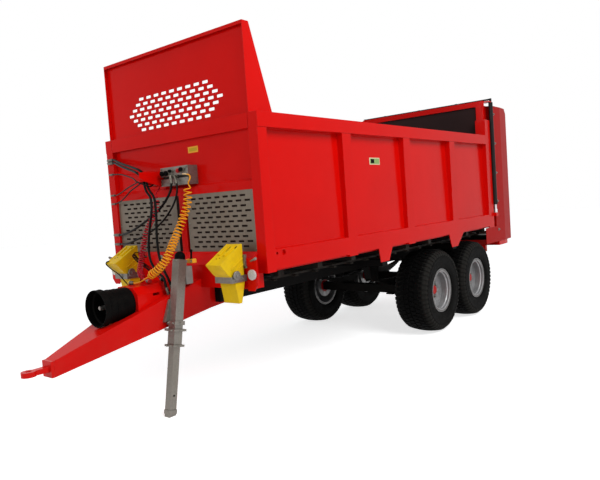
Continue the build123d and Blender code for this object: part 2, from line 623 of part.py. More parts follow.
def pto_guard():
    """Black bell round the input stub, open forwards."""
    reach = BELL_REAR_S - BELL_FRONT_S
    points = [(BELL_RADIUS, 0), (BELL_RADIUS, 70), (BELL_RADIUS - 12, 82),
              (BELL_RADIUS - 22, reach), (60, reach), (60, reach - 2 * BELL_SHEET),
              (BELL_RADIUS - 22 - BELL_SHEET, reach - 2 * BELL_SHEET),
              (BELL_RADIUS - 12 - BELL_SHEET, 82), (BELL_RADIUS - BELL_SHEET, 70),
              (BELL_RADIUS - BELL_SHEET, 0)]
    return turned(points, at(0, BELL_FRONT_S, PTO_Z), Vector(0, 1, 0))


def pto_shaft():
    """Input stub with its collar, turning inside the guard."""
    stub = bar(at(0, PTO_FRONT_S, PTO_Z), at(0, -700, PTO_Z), PTO_RADIUS)
    stub += bar(at(0, -880, PTO_Z), at(0, -700, PTO_Z), PTO_COLLAR)
    return stub


# ---- parking jack ------------------------------------------------------------------------------
def jack_plane(distance):
    """Plane square to the jack, a distance above its collar along the tube."""
    up = Vector(0, sin(JACK_LEAN), cos(JACK_LEAN))
    return Plane(origin=at(JACK_X, *JACK_COLLAR) + up * distance, x_dir=(1, 0, 0), z_dir=up)


def jack_tube():
    """Outer tube with its collars and the clamp plate on the drawbar."""
    wall = Rectangle(JACK_OUTER, JACK_OUTER)
    bore = Rectangle(JACK_OUTER - 2 * JACK_WALL, JACK_OUTER - 2 * JACK_WALL)
    tube = extrude(jack_plane(-JACK_SLEEVE) * wall, amount=JACK_SLEEVE + JACK_TUBE)
    for distance, size, height in JACK_COLLARS:
        tube += extrude(jack_plane(distance) * Rectangle(size, size), amount=height)
    inner = JACK_X - JACK_OUTER / 2
    tube += side_plate([(-545, 900), (-330, 960), (-270, 1160), (-470, 1110)], inner - 60, inner + 2)
    guide = Rectangle(JACK_LEG + 2 * SEAT_GAP, JACK_LEG + 2 * SEAT_GAP)
    foot = -JACK_SLEEVE
    tube -= extrude(jack_plane(foot + JACK_COLLARS[0][2]) * bore, amount=JACK_SLEEVE + JACK_TUBE)
    return tube - extrude(jack_plane(foot - 10) * guide, amount=60) - drawbar_hull()


def jack_cap():
    """Domed cap on the tube."""
    cap = extrude(jack_plane(JACK_TUBE) * Circle(JACK_OUTER / 2 + 4), amount=26)
    dome = jack_plane(JACK_TUBE + 26) * Sphere(JACK_OUTER / 2 + 4)
    lower = extrude(jack_plane(JACK_TUBE - 200) * Circle(JACK_OUTER), amount=226)
    return cap + (dome - lower)


def jack_leg():
    """Inner leg with its cross hole, cut level at the ground."""
    reach = JACK_COLLAR[1] / cos(JACK_LEAN) + 60
    leg = extrude(jack_plane(JACK_LEG_OVERLAP) * Rectangle(JACK_LEG, JACK_LEG),
                  amount=-(JACK_LEG_OVERLAP + reach))
    leg -= block(0, 2 * JACK_X, EYE_TIP_S, 0, -300, 0)
    hole = jack_plane(-620)
    return leg - bar(hole.origin - Vector(JACK_LEG, 0, 0), hole.origin + Vector(JACK_LEG, 0, 0), 11)


# ---- chocks, reflectors, junction block --------------------------------------------------------
def chocks():
    """Wheel chocks, tips down, each a curved-faced wedge."""
    return Compound([side_plate(CHOCK_SIDE, x, x + CHOCK_WIDTH) for x in CHOCK_X])


def chock_holders():
    """Straps round the chocks with their arms on the front beam."""
    low, high = STRAP
    holders = []
    for x in CHOCK_X:
        strap = block(x - STRAP_OUT, x + CHOCK_WIDTH + STRAP_OUT, STRAP_FRONT_S, BEAM_FRONT_S,
                      low, high)
        strap -= block(x - STRAP_GAP, x + CHOCK_WIDTH + STRAP_GAP, STRAP_FRONT_S + STRAP_OUT,
                       BEAM_FRONT_S - PLATE_SHEET, low - 1, high + 1)
        strap -= side_plate(CHOCK_SIDE, x - 1, x + CHOCK_WIDTH + 1)
        holders += strap.solids()
    return Compound(holders)


def reflectors():
    """Left round reflector."""
    x, z, radius = REFLECTOR
    return bar(at(x, BEAM_FRONT_S - 8, z), at(x, BEAM_FRONT_S - 22, z), radius)


def junction_block():
    """Bent galvanised bracket that holds the couplings."""
    low, high = BLOCK_Z
    middle = (low + high) / 2 - 10
    front = WALL_RECESS - 130
    return side_plate([(WALL_RECESS, high), (front, high), (front, middle + 15),
                       (front + 45, middle), (front, middle - 15), (front, low),
                       (WALL_RECESS, low)], *BLOCK_X)


def hose_arm():
    """Trough that reaches forwards from the wall and carries the hoses, open where they drop."""
    left, right = ARM_X
    underside = [(WALL_RECESS, ARM_ROOT_Z), (-100, ARM_ROOT_Z), (ARM_KNEE_S, ARM_KNEE_Z)]
    near_side = underside + [(ARM_TIP_S, 2341), (ARM_TIP_S, ARM_TOP_Z - 12), (-254, ARM_TOP_Z),
                             (WALL_RECESS, ARM_TOP_Z)]
    far_side = underside + [(ARM_KNEE_S, ARM_KNEE_TOP_Z), (-215, ARM_KNEE_TOP_Z),
                            (-205, ARM_TOP_Z), (WALL_RECESS, ARM_TOP_Z)]
    arm = side_plate(near_side, right - SHEET, right) + side_plate(far_side, left, left + SHEET)
    floor_top = ARM_FLOOR_Z + SHEET
    arm += block(left, right, ARM_FLOOR_S, WALL_RECESS, ARM_FLOOR_Z, floor_top)
    arm += block(left, right, ARM_FLOOR_S - SHEET, ARM_FLOOR_S, floor_top - ARM_FLOOR_LIP, floor_top)
    return arm + block(left, right, ARM_KNEE_S, ARM_KNEE_S + SHEET, ARM_KNEE_Z, ARM_KNEE_TOP_Z)


# ---- rear columns, door and rams ---------------------------------------------------------------
def columns():
    """Left rear column with the door's guide groove and the ram's foot bracket."""
    column = block(COLUMN_INNER_X, BODY_HALF, WALL_LENGTH, COLUMN_REAR_S, POST_FOOT_Z,
                   COLUMN_TOP_Z)
    groove_half = DOOR_THICK / 2 + SLIDE_GAP
    column -= block(COLUMN_INNER_X - 5, DOOR_HALF + SLIDE_GAP, DOOR_S - groove_half,
                    DOOR_S + groove_half, DOOR_FOOT_Z - SLIDE_GAP, COLUMN_TOP_Z + 5)
    column += block(RAM_X - 45, RAM_X + 28, COLUMN_REAR_S - 1, RAM_S + 38, ROD_FOOT_Z - 60,
                    ROD_FOOT_Z)
    return column


def ram_rods():
    """Left ram rod standing on its bracket."""
    rod = bar(at(RAM_X, RAM_S, ROD_FOOT_Z), at(RAM_X, RAM_S, RAM_TOP_Z - 60), RAM_ROD)
    return rod + bar(at(RAM_X, RAM_S, ROD_FOOT_Z), at(RAM_X, RAM_S, ROD_FOOT_Z + 60), 28)


def door_frame():
    """Door frame: foot, stiles and head."""
    front, rear = DOOR_S - DOOR_THICK / 2, DOOR_S + DOOR_THICK / 2
    frame = block(-DOOR_HALF, DOOR_HALF, front, rear, DOOR_FOOT_Z, DOOR_TOP_Z)
    frame -= block(-DOOR_HALF + DOOR_STILE, DOOR_HALF - DOOR_STILE, front - 5, rear + 5,
                   DOOR_FOOT_Z + DOOR_FOOT, DOOR_TOP_Z - DOOR_HEAD)
    for x0, x1 in ((DOOR_HALF - 40, RAM_X + 10), (-RAM_X - 10, 40 - DOOR_HALF)):
        frame += block(x0, x1, rear, RAM_S + 30, RAM_TOP_Z, RAM_TOP_Z + RAM_LUG)
    return frame


def door_panel():
    """Dark sheet inside the frame with its two ribs."""
    gap = SEAT_GAP
    panel = block(-DOOR_HALF + DOOR_STILE + gap, DOOR_HALF - DOOR_STILE - gap, DOOR_S - 3,
                  DOOR_S + 3, DOOR_FOOT_Z + DOOR_FOOT + gap, DOOR_TOP_Z - DOOR_HEAD - gap)
    return panel


def rams():
    """Left ram barrel, bored for its rod."""
    barrel = bar(at(RAM_X, RAM_S, RAM_LOW_Z), at(RAM_X, RAM_S, RAM_TOP_Z), RAM_RADIUS)
    barrel += bar(at(RAM_X, RAM_S, RAM_LOW_Z), at(RAM_X, RAM_S, RAM_LOW_Z + 60), RAM_RADIUS + 4)
    return barrel - bar(at(RAM_X, RAM_S, RAM_LOW_Z - 5), at(RAM_X, RAM_S, RAM_TOP_Z - 40), RAM_BORE)


def hose_bar():
    """Pipe across the door's head that joins the two rams."""
    z, radius = HOSE_BAR_Z, HOSE_BAR_RADIUS
    reach = RAM_X
    pipe = bar(at(-reach, RAM_S, z), at(reach, RAM_S, z), radius)
    for x in (-reach, reach):
        pipe += bar(at(x, RAM_S, RAM_TOP_Z + RAM_LUG), at(x, RAM_S, z + radius), radius + 6)
    clip_top = z - radius + SHEET
    for x in HOSE_BAR_CLIPS:
        pipe += block(x - 20, x + 20, DOOR_S, RAM_S, z - radius, clip_top)
        pipe += block(x - 20, x + 20, DOOR_S - 15, DOOR_S + 15, DOOR_TOP_Z, clip_top)
    return pipe


# ---- beater unit -------------------------------------------------------------------------------
def shield():
    """Left beater shield: folded side plate with its front flanges and its nose under the sill."""
    sheet = SHEET
    outer = BODY_HALF
    plan = [(outer, SHIELD_FRONT_S), (outer, SHIELD_FOLD_S), (SHIELD_REAR_X, SHIELD_REAR_S),
            (SHIELD_REAR_X - sheet, SHIELD_REAR_S), (outer - sheet, SHIELD_FOLD_S),
            (outer - sheet, SHIELD_FRONT_S + sheet), (SHIELD_FLANGE_X, SHIELD_FRONT_S + sheet),
            (SHIELD_FLANGE_X, COLUMN_REAR_S), (SHIELD_FLANGE_X + sheet, COLUMN_REAR_S),
            (SHIELD_FLANGE_X + sheet, SHIELD_FRONT_S)]
    plate = level_plate(plan, SHIELD_LOW_Z, SHIELD_TOP_Z)
    round_off = side_plate([(SHIELD_REAR_S - 90, SHIELD_TOP_Z + 5), (SHIELD_REAR_S + 5, SHIELD_TOP_Z + 5),
                            (SHIELD_REAR_S + 5, SHIELD_TOP_Z - 90)], SHIELD_FLANGE_X, BODY_HALF + 5)
    plate -= round_off
    nose = side_plate([(SHIELD_NOSE_S, POST_FOOT_Z), (SHIELD_FRONT_S + sheet, POST_FOOT_Z),
                       (SHIELD_FRONT_S + sheet, SHIELD_LOW_Z), (SHIELD_NOSE_S, SHIELD_LOW_Z)],
                      outer - sheet, outer)
    return plate + nose


def shield_inner_x(station):
    """Inner face of a shield at a station."""
    inner = BODY_HALF - SHEET
    if station <= SHIELD_FOLD_S:
        return inner
    share = (station - SHIELD_FOLD_S) / (SHIELD_REAR_S - SHIELD_FOLD_S)
    return inner + (SHIELD_REAR_X - BODY_HALF) * share


def between_shields(s0, s1, z0, z1):
    """Beam from shield to shield whose ends follow the folded plates."""
    ends = [(shield_inner_x(s) - SEAT_GAP, s) for s in (s0, max(s0, SHIELD_FOLD_S), s1)
            if s0 <= s <= s1]
    if s0 < SHIELD_FOLD_S < s1:
        left = ends
    else:
        left = [ends[0], ends[-1]]
    return level_plate(left + [(-x, s) for x, s in reversed(left)], z0, z1)


def gear_beam():
    """Gearbox beam under the discs, carried on the chassis rails' tails."""
    s0, s1, z0, z1 = GEAR_BEAM
    beam = between_shields(s0, s1, z0, z1)
    for x in (-BEATER_X, BEATER_X):
        beam += block(x - 130, x + 130, BEATER_S - 130, BEATER_S + 130, z0 - 110, z0)
    return beam + lamp_bar()


def top_beam():
    """Upper bearing beam with a boss for each beater."""
    s0, s1, z0, z1 = TOP_BEAM
    beam = between_shields(s0, s1, z0, z1)
    for x in (-BEATER_X, BEATER_X):
        beam += bar(at(x, BEATER_S, z0 - 40), at(x, BEATER_S, z0), 90)
    return beam


def beater_disc():
    """Left spreading disc with its four throwing paddles."""
    z = BEATER_DISC_Z
    disc = bar(at(BEATER_X, BEATER_S, z), at(BEATER_X, BEATER_S, z + 10), BEATER_DISC_RADIUS)
    disc += bar(at(BEATER_X, BEATER_S, GEAR_BEAM[3] + SEAT_GAP), at(BEATER_X, BEATER_S, z), 60)
    for turn in range(4):
        paddle = Pos(280, 0, 35) * Box(360, 12, 50)
        disc += Pos(*at(BEATER_X, BEATER_S, z)) * Rot(0, 0, 45 + 90 * turn) * paddle
    return disc


def beater():
    """Left upright beater: tube, stepped spiral of flight plates and top journal."""
    top = BEATER_TOP_Z
    tube = bar(at(BEATER_X, BEATER_S, BEATER_DISC_Z), at(BEATER_X, BEATER_S, top), BEATER_TUBE)
    tube += bar(at(BEATER_X, BEATER_S, top), at(BEATER_X, BEATER_S, TOP_BEAM[2] - 40 - SEAT_GAP), 45)
    step = 360 / FLIGHT_STEPS
    half = radians(step / 2 + 5)
    lean = degrees(atan2(FLIGHT_PITCH / FLIGHT_STEPS, FLIGHT_RADIUS * radians(step) * 0.75))
    outline = [(BEATER_TUBE * 0.8, -BEATER_TUBE * 0.8 * tan(half)),
               (FLIGHT_RADIUS * cos(half), -FLIGHT_RADIUS * sin(half)), (FLIGHT_RADIUS, -40),
               (BLADE_RADIUS, -26), (BLADE_RADIUS, 26), (FLIGHT_RADIUS, 40),
               (FLIGHT_RADIUS * cos(half), FLIGHT_RADIUS * sin(half)),
               (BEATER_TUBE * 0.8, BEATER_TUBE * 0.8 * tan(half))]
    plates = []
    count = int((top - BEATER_DISC_Z - 260) / (FLIGHT_PITCH / FLIGHT_STEPS))
    for number in range(count):
        z = BEATER_DISC_Z + 190 + number * FLIGHT_PITCH / FLIGHT_STEPS
        place = Pos(*at(BEATER_X, BEATER_S, z)) * Rot(0, 0, number * step) * Rot(lean, 0, 0)
        plates.append(place * extrude(Polygon(*outline, align=None), amount=10))
    return tube + plates + beater_disc()


def lamp_bar():
    """Bar under the gearbox beam on two drops, and the number plate's place."""
    s0, s1, z0, z1 = LAMP_BAR
    bar_ = block(-LAMP_BAR_HALF, LAMP_BAR_HALF, s0, s1, z0, z1)
    for x in (-DROP_X, DROP_X):
        bar_ += block(x - DROP_SHEET / 2, x + DROP_SHEET / 2, s0, s1, z1, GEAR_BEAM[2])
    return bar_


def lamps():
    """Left rear lamp."""
    s0, s1, z0, z1 = LAMP_BAR
    return block(LAMP_BAR_HALF - LAMP_WIDTH, LAMP_BAR_HALF, s1, s1 + LAMP_DEPTH,
                 z0 - LAMP_LIP, z1 + LAMP_LIP)


# ---- hoses and cables --------------------------------------------------------------------------
# Each route is a list of (x, station, z) points along the cord's middle, from one end to the other.
GLAND_LENGTH, GLAND_WALL = 18 - SEAT_GAP, 5
HOSES = {
    "hydraulic_hose_1": (26, [
        (-1119, -27, 2617), (-1040, -27, 2617), (-927, -78, 2590), (-756, -140, 2546),
        (-538, -194, 2498), (-382, -236, 2461), (-280, -261, 2437), (-217, -260, 2404),
        (-186, -249, 2339), (-179, -238, 2253), (-150, -235, 2197), (-92, -234, 2146),
        (-48, -254, 2061), (-15, -283, 1917), (-26, -294, 1697), (7, -307, 1490),
        (104, -336, 1375), (193, -367, 1312), (244, -377, 1250), (244, -355.9, 1189.4)]),
    "hydraulic_hose_2": (26, [
        (-1119, -27, 2583), (-1041, -27, 2583), (-930, -78, 2559), (-763, -141, 2516),
        (-552, -196, 2464), (-403, -233, 2430), (-309, -266, 2404), (-249, -263, 2372),
        (-220, -249, 2313), (-214, -244, 2236), (-183, -248, 2184), (-129, -251, 2143),
        (-99, -264, 2079), (-76, -289, 1977), (-101, -306, 1847), (-141, -317, 1656),
        (-121, -334, 1501), (-42, -352, 1410), (75, -378, 1345), (161, -393, 1317),
        (210, -419, 1284), (243, -437, 1230), (243, -415.9, 1168.6)]),
    "hydraulic_hose_3": (26, [
        (57, -112, 2312), (82, -125, 2247), (63, -135, 2175), (-7, -142, 2092), (-139, -144, 1993),
        (-341, -140, 1902), (-552, -124, 1825), (-766, -97, 1767), (-933, -62, 1747),
        (-1044, -27, 1737), (-1119, -27, 1737)]),
    "hydraulic_hose_4": (20, [
        (130, -110, 2304), (157, -119, 2252), (172, -134, 2166), (128, -150, 2048),
        (-12, -154, 1916), (-210, -146, 1803), (-424, -138, 1727), (-645, -119, 1673),
        (-842, -89, 1635), (-973, -55, 1631), (-1060, -27, 1627), (-1119, -27, 1627)]),
    "light_cable_1": (14, [
        (-1119, -27, 2450), (-1076, -27, 2450), (-1011, -47, 2444), (-912, -72, 2439),
        (-763, -121, 2421), (-577, -190, 2388), (-412, -255, 2360), (-306, -302, 2335),
        (-239, -332, 2311), (-194, -339, 2293), (-158, -319, 2278), (-135, -276, 2255),
        (-138, -240, 2243), (-156, -202, 2250), (-174, -169, 2270), (-174, -134, 2270)]),
    "light_cable_2": (14, [
        (-1119, -27, 2205), (-1078, -27, 2205), (-1017, -50, 2205), (-927, -82, 2210),
        (-789, -125, 2231), (-607, -163, 2273), (-468, -206, 2288), (-377, -232, 2300),
        (-316, -246, 2312), (-274, -246, 2312)]),
    "light_cable_3": (14, [
        (-1119, -27, 2105), (-1077, -27, 2105), (-1016, -48, 2114), (-923, -72, 2125),
        (-785, -108, 2160), (-610, -150, 2228), (-469, -175, 2261), (-376, -188, 2287),
        (-316, -200, 2306), (-274, -200, 2306)]),
}
# coiled cords: lead diameter, coil diameter, lead route, coil route, tail route
COILS = {
    "air_coil_yellow": (12, 90, [
        (262, -93, 2344), (262, -115, 2344), (277, -133, 2343), (295, -144, 2342),
        (316, -149, 2340), (345, -150, 2337), (377, -151, 2330), (399, -154, 2323),
        (418, -162, 2313), (432.1, -169.9, 2301.3)], [
        (432.1, -169.9, 2301.3), (439, -186, 2267), (424, -196, 2225), (412, -203, 2176),
        (418, -206, 2108), (407, -220, 2012), (373, -246, 1913), (357, -290, 1815),
        (357, -348, 1724), (371, -414, 1640), (381, -470, 1564), (356, -508, 1492),
        (290, -544, 1418), (203, -568, 1367), (137.5, -579.8, 1336.2)], [
        (137.5, -579.8, 1336.2), (100, -587, 1318), (56, -594, 1297), (23, -598, 1287),
        (-14, -605, 1284), (-50, -605, 1284)]),
    "air_coil_red": (12, 68, [
        (-205, -60, 2272), (-205, -60, 2252), (-204, -65, 2230), (-200, -78, 2213),
        (-193, -95, 2203), (-182, -113, 2196), (-170.2, -130.1, 2188.5)], [
        (-170.2, -130.1, 2188.5), (-148, -156, 2165), (-132, -173, 2127), (-117, -189, 2065),
        (-106, -207, 2013), (-111, -220, 1974), (-138, -228, 1928), (-191, -234, 1865),
        (-258, -240, 1779), (-293, -254, 1679), (-295, -280, 1573), (-285, -317, 1471),
        (-270, -352, 1400), (-238, -382, 1355), (-174, -407, 1317), (-118, -424.2, 1300)], [
        (-118, -424.2, 1300), (-99, -435, 1298), (-80, -448, 1296), (-62, -458, 1293),
        (-42, -466, 1284), (-20, -466, 1284)]),
    "cable_coil_black": (9, 46, [
        (-575, -52.6, 1489.4), (-575, -66, 1499), (-583, -86, 1513), (-590, -113, 1530),
        (-593, -136, 1540), (-592, -153, 1544), (-589, -169, 1544), (-583.6, -183.9, 1540.8)], [
        (-583.6, -183.9, 1540.8), (-562, -213, 1527), (-521, -235, 1507), (-455, -250, 1474),
        (-362, -262, 1436), (-266, -279, 1406), (-176, -287, 1370), (-113.8, -293.4, 1342.9)], [
        (-113.8, -293.4, 1342.9), (-87, -297, 1331), (-48, -302, 1311), (-17, -309, 1295),
        (3, -320, 1284), (20, -320, 1284)]),
}
COUPLINGS = (                 # end of the tail, end of the head
    ((-50, -605, COUPLING_Z), (-118, -612, COUPLING_Z)),
    ((-20, -466, COUPLING_Z), (50, -476, COUPLING_Z)),
    ((20, -320, COUPLING_Z), (88, -340, COUPLING_Z)),
)
POST_EXIT_X = 60 - BODY_HALF  # elbows on the far corner post, at these heights
POST_EXITS = ((2617, 26), (2583, 26), (2450, 14), (2205, 14), (2105, 14), (1737, 26), (1627, 20))
ELBOWS = [                    # seat, knee, end, hose diameter
    ((46, -75, 2341), (46, -106, 2341), (57, -112, 2312), 26),
    ((115, -75, 2332), (115, -105, 2332), (130, -110, 2304), 20),
] + [((POST_EXIT_X, 0, z), (POST_EXIT_X, -27, z), (POST_EXIT_X + 46, -27, z), diameter)
     for z, diameter in POST_EXITS]
ELBOW_WALL = 3
GLANDS = (                    # seat, direction away from it, hose diameter
    ((262, -75, 2344), (0, -1, 0), 12),
    ((-174, -116, 2270), (0, -1, 0), 14),
    ((-256, -246, 2312), (-1, 0, 0), 14), ((-256, -200, 2306), (-1, 0, 0), 14),
    ((-205, -60, 2290), (0, 0, -1), 12),
    ((-575, -37.8, 1478.7), (0, -0.8137, 0.5813), 9),
    ((244, -350, 1172.2), (0, -0.327, 0.945), 26),
    ((243, -410, 1151.5), (0, -0.327, 0.945), 26),
)


def corner_radii(points):
    """Largest even arc for each corner of a route: 0.45 of its shorter run."""
    radii = []
    for before, corner, after in zip(points, points[1:], points[2:]):
        turn = radians((corner - before).get_angle(after - corner))
        run = min((corner - before).length, (after - corner).length)
        radii.append(0.45 * run / tan(turn / 2))
    return radii


def tube(label, route, diameter, cord_diameter):
    """Round tube along a route, with its radii, length and volume printed."""
    points = [at(*point) for point in route]
    radii = corner_radii(points)
    path = FilletPolyline(*points, radius=radii)
    start = Plane(origin=points[0], z_dir=points[1] - points[0])
    solid = sweep(start * Circle(diameter / 2), path=path)
    share = solid.volume / (pi * diameter ** 2 / 4 * path.length)
    print(f"{label}: length {path.length:.0f}, volume share {share:.4f}, radii in diameters",
          [round(radius / cord_diameter, 1) for radius in radii])
    return solid


def coiled(label, lead_diameter, coil_diameter, lead, coil, tail):
    """Coiled cord: its straight lead, the coil's envelope and its tail, face to face."""
    return Compound([
        *tube(label + " lead", lead, lead_diameter, lead_diameter).solids(),
        *tube(label + " coil", coil, coil_diameter, lead_diameter).solids(),
        *tube(label + " tail", tail, lead_diameter, lead_diameter).solids()])


def couplings():
    """Coupling heads at the tails' ends, lying on the driveline housing."""
    heads = []
    for start, end in COUPLINGS:
        inward = (at(*end) - at(*start)).normalized()
        heads += bar(at(*start) + inward * SEAT_GAP, at(*end), COUPLING_RADIUS).solids()
    return Compound(heads)


def fittings():
    """Ferrules and elbows where the hoses leave the body."""
    rings = []
    for seat, direction, diameter in GLANDS:
        start = at(*seat)
        rings += bar(start, start + Vector(*direction) * GLAND_LENGTH,
                     diameter / 2 + GLAND_WALL).solids()
    for seat, knee, end, diameter in ELBOWS:
        radius = diameter / 2 + ELBOW_WALL
        outlet = at(*end) - (at(*end) - at(*knee)).normalized() * SEAT_GAP
        elbow = bar(at(*seat), at(*knee), radius) + bar(at(*knee), outlet, radius)
        rings += (elbow + Pos(*at(*knee)) * Sphere(radius)).solids()
    return Compound(rings)


# ---- write the nodes ---------------------------------------------------------------------------
save("side_walls", both_sides(side_wall()))
save("front_wall", front_wall())
half_opening = BODY_HALF - CORNER_WIDTH
save("screens", Compound([screen(-half_opening, SCREEN_GAP_X[0]),
                          screen(SCREEN_GAP_X[1], half_opening)]))
save("headboard", headboard())
save("floor", floor())
save("floor_chain", both_sides(conveyor()))
save("chain_shafts", chain_shafts())

save("chassis_rails", both_sides(chassis_rail() + hangers()))
save("carrier_beams", carriers())
save("springs", both_sides(Compound([*spring(AXLE_STATIONS[0]).solids(),
                                     *spring(AXLE_STATIONS[1]).solids()])))
for name, axle_s in zip(("front", "rear"), AXLE_STATIONS):
    save_sides(f"tyre_{name}", tyre(axle_s))
    save_sides(f"wheel_{name}", rim(axle_s) + hub(axle_s))

save("axles", Compound([*axle(AXLE_STATIONS[0]).solids(), *axle(AXLE_STATIONS[1]).solids()]))
save("drawbar", drawbar())
save("tow_eye", tow_eye())
save("driveline_housing", housing())
save("pto_guard", pto_guard())
save("pto_shaft", pto_shaft())
save("jack_tube", jack_tube())
save("jack_cap", jack_cap())
save("jack_leg", jack_leg())

save("chocks", chocks())
save("chock_holders", chock_holders())
save("lights", both_sides(Compound([*reflectors().solids(), *lamps().solids()])))
save("junction_block", junction_block())
save("hose_arm", hose_arm())

save("rear_columns", both_sides(columns()))
save("ram_rods", both_sides(ram_rods()))
save("door_frame", door_frame())
save("door_panel", door_panel())
save("ram_barrels", both_sides(rams()))
save("hose_bar", hose_bar())

save("shields", both_sides(shield()))
save("gear_beam", gear_beam())
save("top_beam", top_beam())
save_sides("beater", beater())

for node, (diameter, route) in HOSES.items():
    save(node, tube(node, route, diameter, diameter))
for node, sizes in COILS.items():
    save(node, coiled(node, *sizes))
save("couplings", couplings())
save("hose_fittings", fittings())
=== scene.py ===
"""Looks of a tandem-axle manure spreader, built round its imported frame.

Lengths are metres in the machine's own frame: +X is its left side, -Y is forward and +Z is up.
"""

from __future__ import annotations

import json
import logging
import math
from dataclasses import dataclass
from enum import Enum
from typing import Iterable, Sequence, Union

import bmesh
import bpy
from mathutils import Matrix, Vector

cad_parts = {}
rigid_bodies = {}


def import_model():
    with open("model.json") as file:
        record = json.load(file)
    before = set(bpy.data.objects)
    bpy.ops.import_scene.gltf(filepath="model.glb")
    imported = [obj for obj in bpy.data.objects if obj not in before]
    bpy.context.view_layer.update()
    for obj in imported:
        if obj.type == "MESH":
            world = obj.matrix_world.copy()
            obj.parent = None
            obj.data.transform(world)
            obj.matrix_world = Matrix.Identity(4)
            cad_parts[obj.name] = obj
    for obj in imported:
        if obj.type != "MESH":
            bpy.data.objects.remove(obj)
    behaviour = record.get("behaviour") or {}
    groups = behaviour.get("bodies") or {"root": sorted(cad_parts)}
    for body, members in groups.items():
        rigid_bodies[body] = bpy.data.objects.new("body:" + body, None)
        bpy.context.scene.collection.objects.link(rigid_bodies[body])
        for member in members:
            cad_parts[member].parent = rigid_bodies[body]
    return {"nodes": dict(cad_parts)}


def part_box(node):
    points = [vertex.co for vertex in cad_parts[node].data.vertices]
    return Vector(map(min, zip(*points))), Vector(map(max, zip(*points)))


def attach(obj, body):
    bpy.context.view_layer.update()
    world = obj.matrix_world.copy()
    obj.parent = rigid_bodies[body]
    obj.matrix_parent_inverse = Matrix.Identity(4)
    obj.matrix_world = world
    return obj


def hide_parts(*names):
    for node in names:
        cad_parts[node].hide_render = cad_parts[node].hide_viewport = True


LOG = logging.getLogger("spreader")

Colour = tuple[float, float, float]
Point = tuple[float, float, float]
Profile = Sequence[tuple[float, float]]
Value = Union[float, Sequence[float], bpy.types.NodeSocket]

LEFT = Vector((1.0, 0.0, 0.0))
FORWARD = Vector((0.0, -1.0, 0.0))
REARWARD = Vector((0.0, 1.0, 0.0))
Z_TO_X = Matrix(((0, 0, 1, 0), (1, 0, 0, 0), (0, 1, 0, 0), (0, 0, 0, 1)))
MID_GREY = (0.5, 0.5, 0.5, 1.0)


def rgba(colour: Colour) -> tuple[float, float, float, float]:
    """Returns the colour with full alpha."""
    return (*colour, 1.0)


# ---- node trees --------------------------------------------------------------------------------
class NodeSheet:
    """A node tree with short calls to place and join its nodes."""

    def __init__(self, tree: bpy.types.NodeTree) -> None:
        """Keeps the tree that the nodes go into."""
        self.tree = tree

    def feed(self, node: bpy.types.Node, key: Union[str, int], value: Value) -> None:
        """Gives a node's input a link or a value.

        Args:
            node: The node.
            key: The input's name or place.
            value: A socket to link, or a value. A colour leaves out its alpha.
        """
        target = node.inputs[key]
        if isinstance(value, bpy.types.NodeSocket):
            self.tree.links.new(value, target)
        else:
            target.default_value = rgba(value) if target.type == "RGBA" else value

    def add(self, kind: str, inputs: dict[Union[str, int], Value] | None = None,
            **settings: object) -> bpy.types.Node:
        """Places a node.

        Args:
            kind: The node's type name.
            inputs: Values or sockets for its inputs, by name or place.
            settings: Properties of the node.

        Returns:
            The new node.
        """
        node = self.tree.nodes.new(kind)
        for name, value in settings.items():
            setattr(node, name, value)
        for key, value in (inputs or {}).items():
            self.feed(node, key, value)
        return node

    def math(self, operation: str, a: Value, b: Value = 0.0, clamp: bool = True
             ) -> bpy.types.NodeSocket:
        """Returns the sum, product or the like of two values."""
        node = self.add("ShaderNodeMath", {0: a, 1: b}, operation=operation, use_clamp=clamp)
        return node.outputs[0]

    def vector(self, operation: str, a: Value, b: Value = (0.0, 0.0, 0.0),
               output: str = "Vector") -> bpy.types.NodeSocket:
        """Returns the sum, product, length or the like of vectors."""
        node = self.add("ShaderNodeVectorMath", {0: a, 1: b}, operation=operation)
        return node.outputs[output]

    def blend(self, factor: Value, a: Value, b: Value) -> bpy.types.NodeSocket:
        """Returns a mix of two colours by a factor."""
        node = self.add("ShaderNodeMix", {0: factor, 6: a, 7: b}, data_type="RGBA")
        return node.outputs[2]

    def ramp(self, value: Value, low: Value, high: Value, start: Value = 0.0, end: Value = 1.0
             ) -> bpy.types.NodeSocket:
        """Returns the value stretched from low and high to start and end."""
        node = self.add("ShaderNodeMapRange", {0: value, 1: low, 2: high, 3: start, 4: end})
        return node.outputs[0]

    def between(self, value: Value, start: float, full: float, last: float, end: float
                ) -> bpy.types.NodeSocket:
        """Returns 1 for values from full to last, fading to 0 at start and at end."""
        rise, fall = self.ramp(value, start, full), self.ramp(value, end, last)
        return self.math("MULTIPLY", rise, fall)

    def split(self, point: Value) -> bpy.types.bpy_prop_collection:
        """Returns the three parts of a point or a direction."""
        return self.add("ShaderNodeSeparateXYZ", {0: point}).outputs

    def place(self) -> bpy.types.NodeSocket:
        """Returns the point in the piece's own frame."""
        return self.add("ShaderNodeTexCoord").outputs["Object"]

    def noise(self, scale: Value, detail: float, rough: float, at: Value | None = None
              ) -> bpy.types.NodeSocket:
        """Returns a noise value over the piece."""
        return self.add("ShaderNodeTexNoise", {"Vector": at or self.place(), "Scale": scale,
                                               "Detail": detail, "Roughness": rough}).outputs[0]

    def seen(self) -> bpy.types.NodeSocket:
        """Tells apart the rays that show the background.

        Returns:
            1 for what the camera, a mirror or a glass sees, and otherwise 0.
        """
        path = self.add("ShaderNodeLightPath").outputs
        direct = self.math("ADD", path["Is Camera Ray"], path["Is Glossy Ray"])
        return self.math("ADD", direct, path["Is Transmission Ray"])


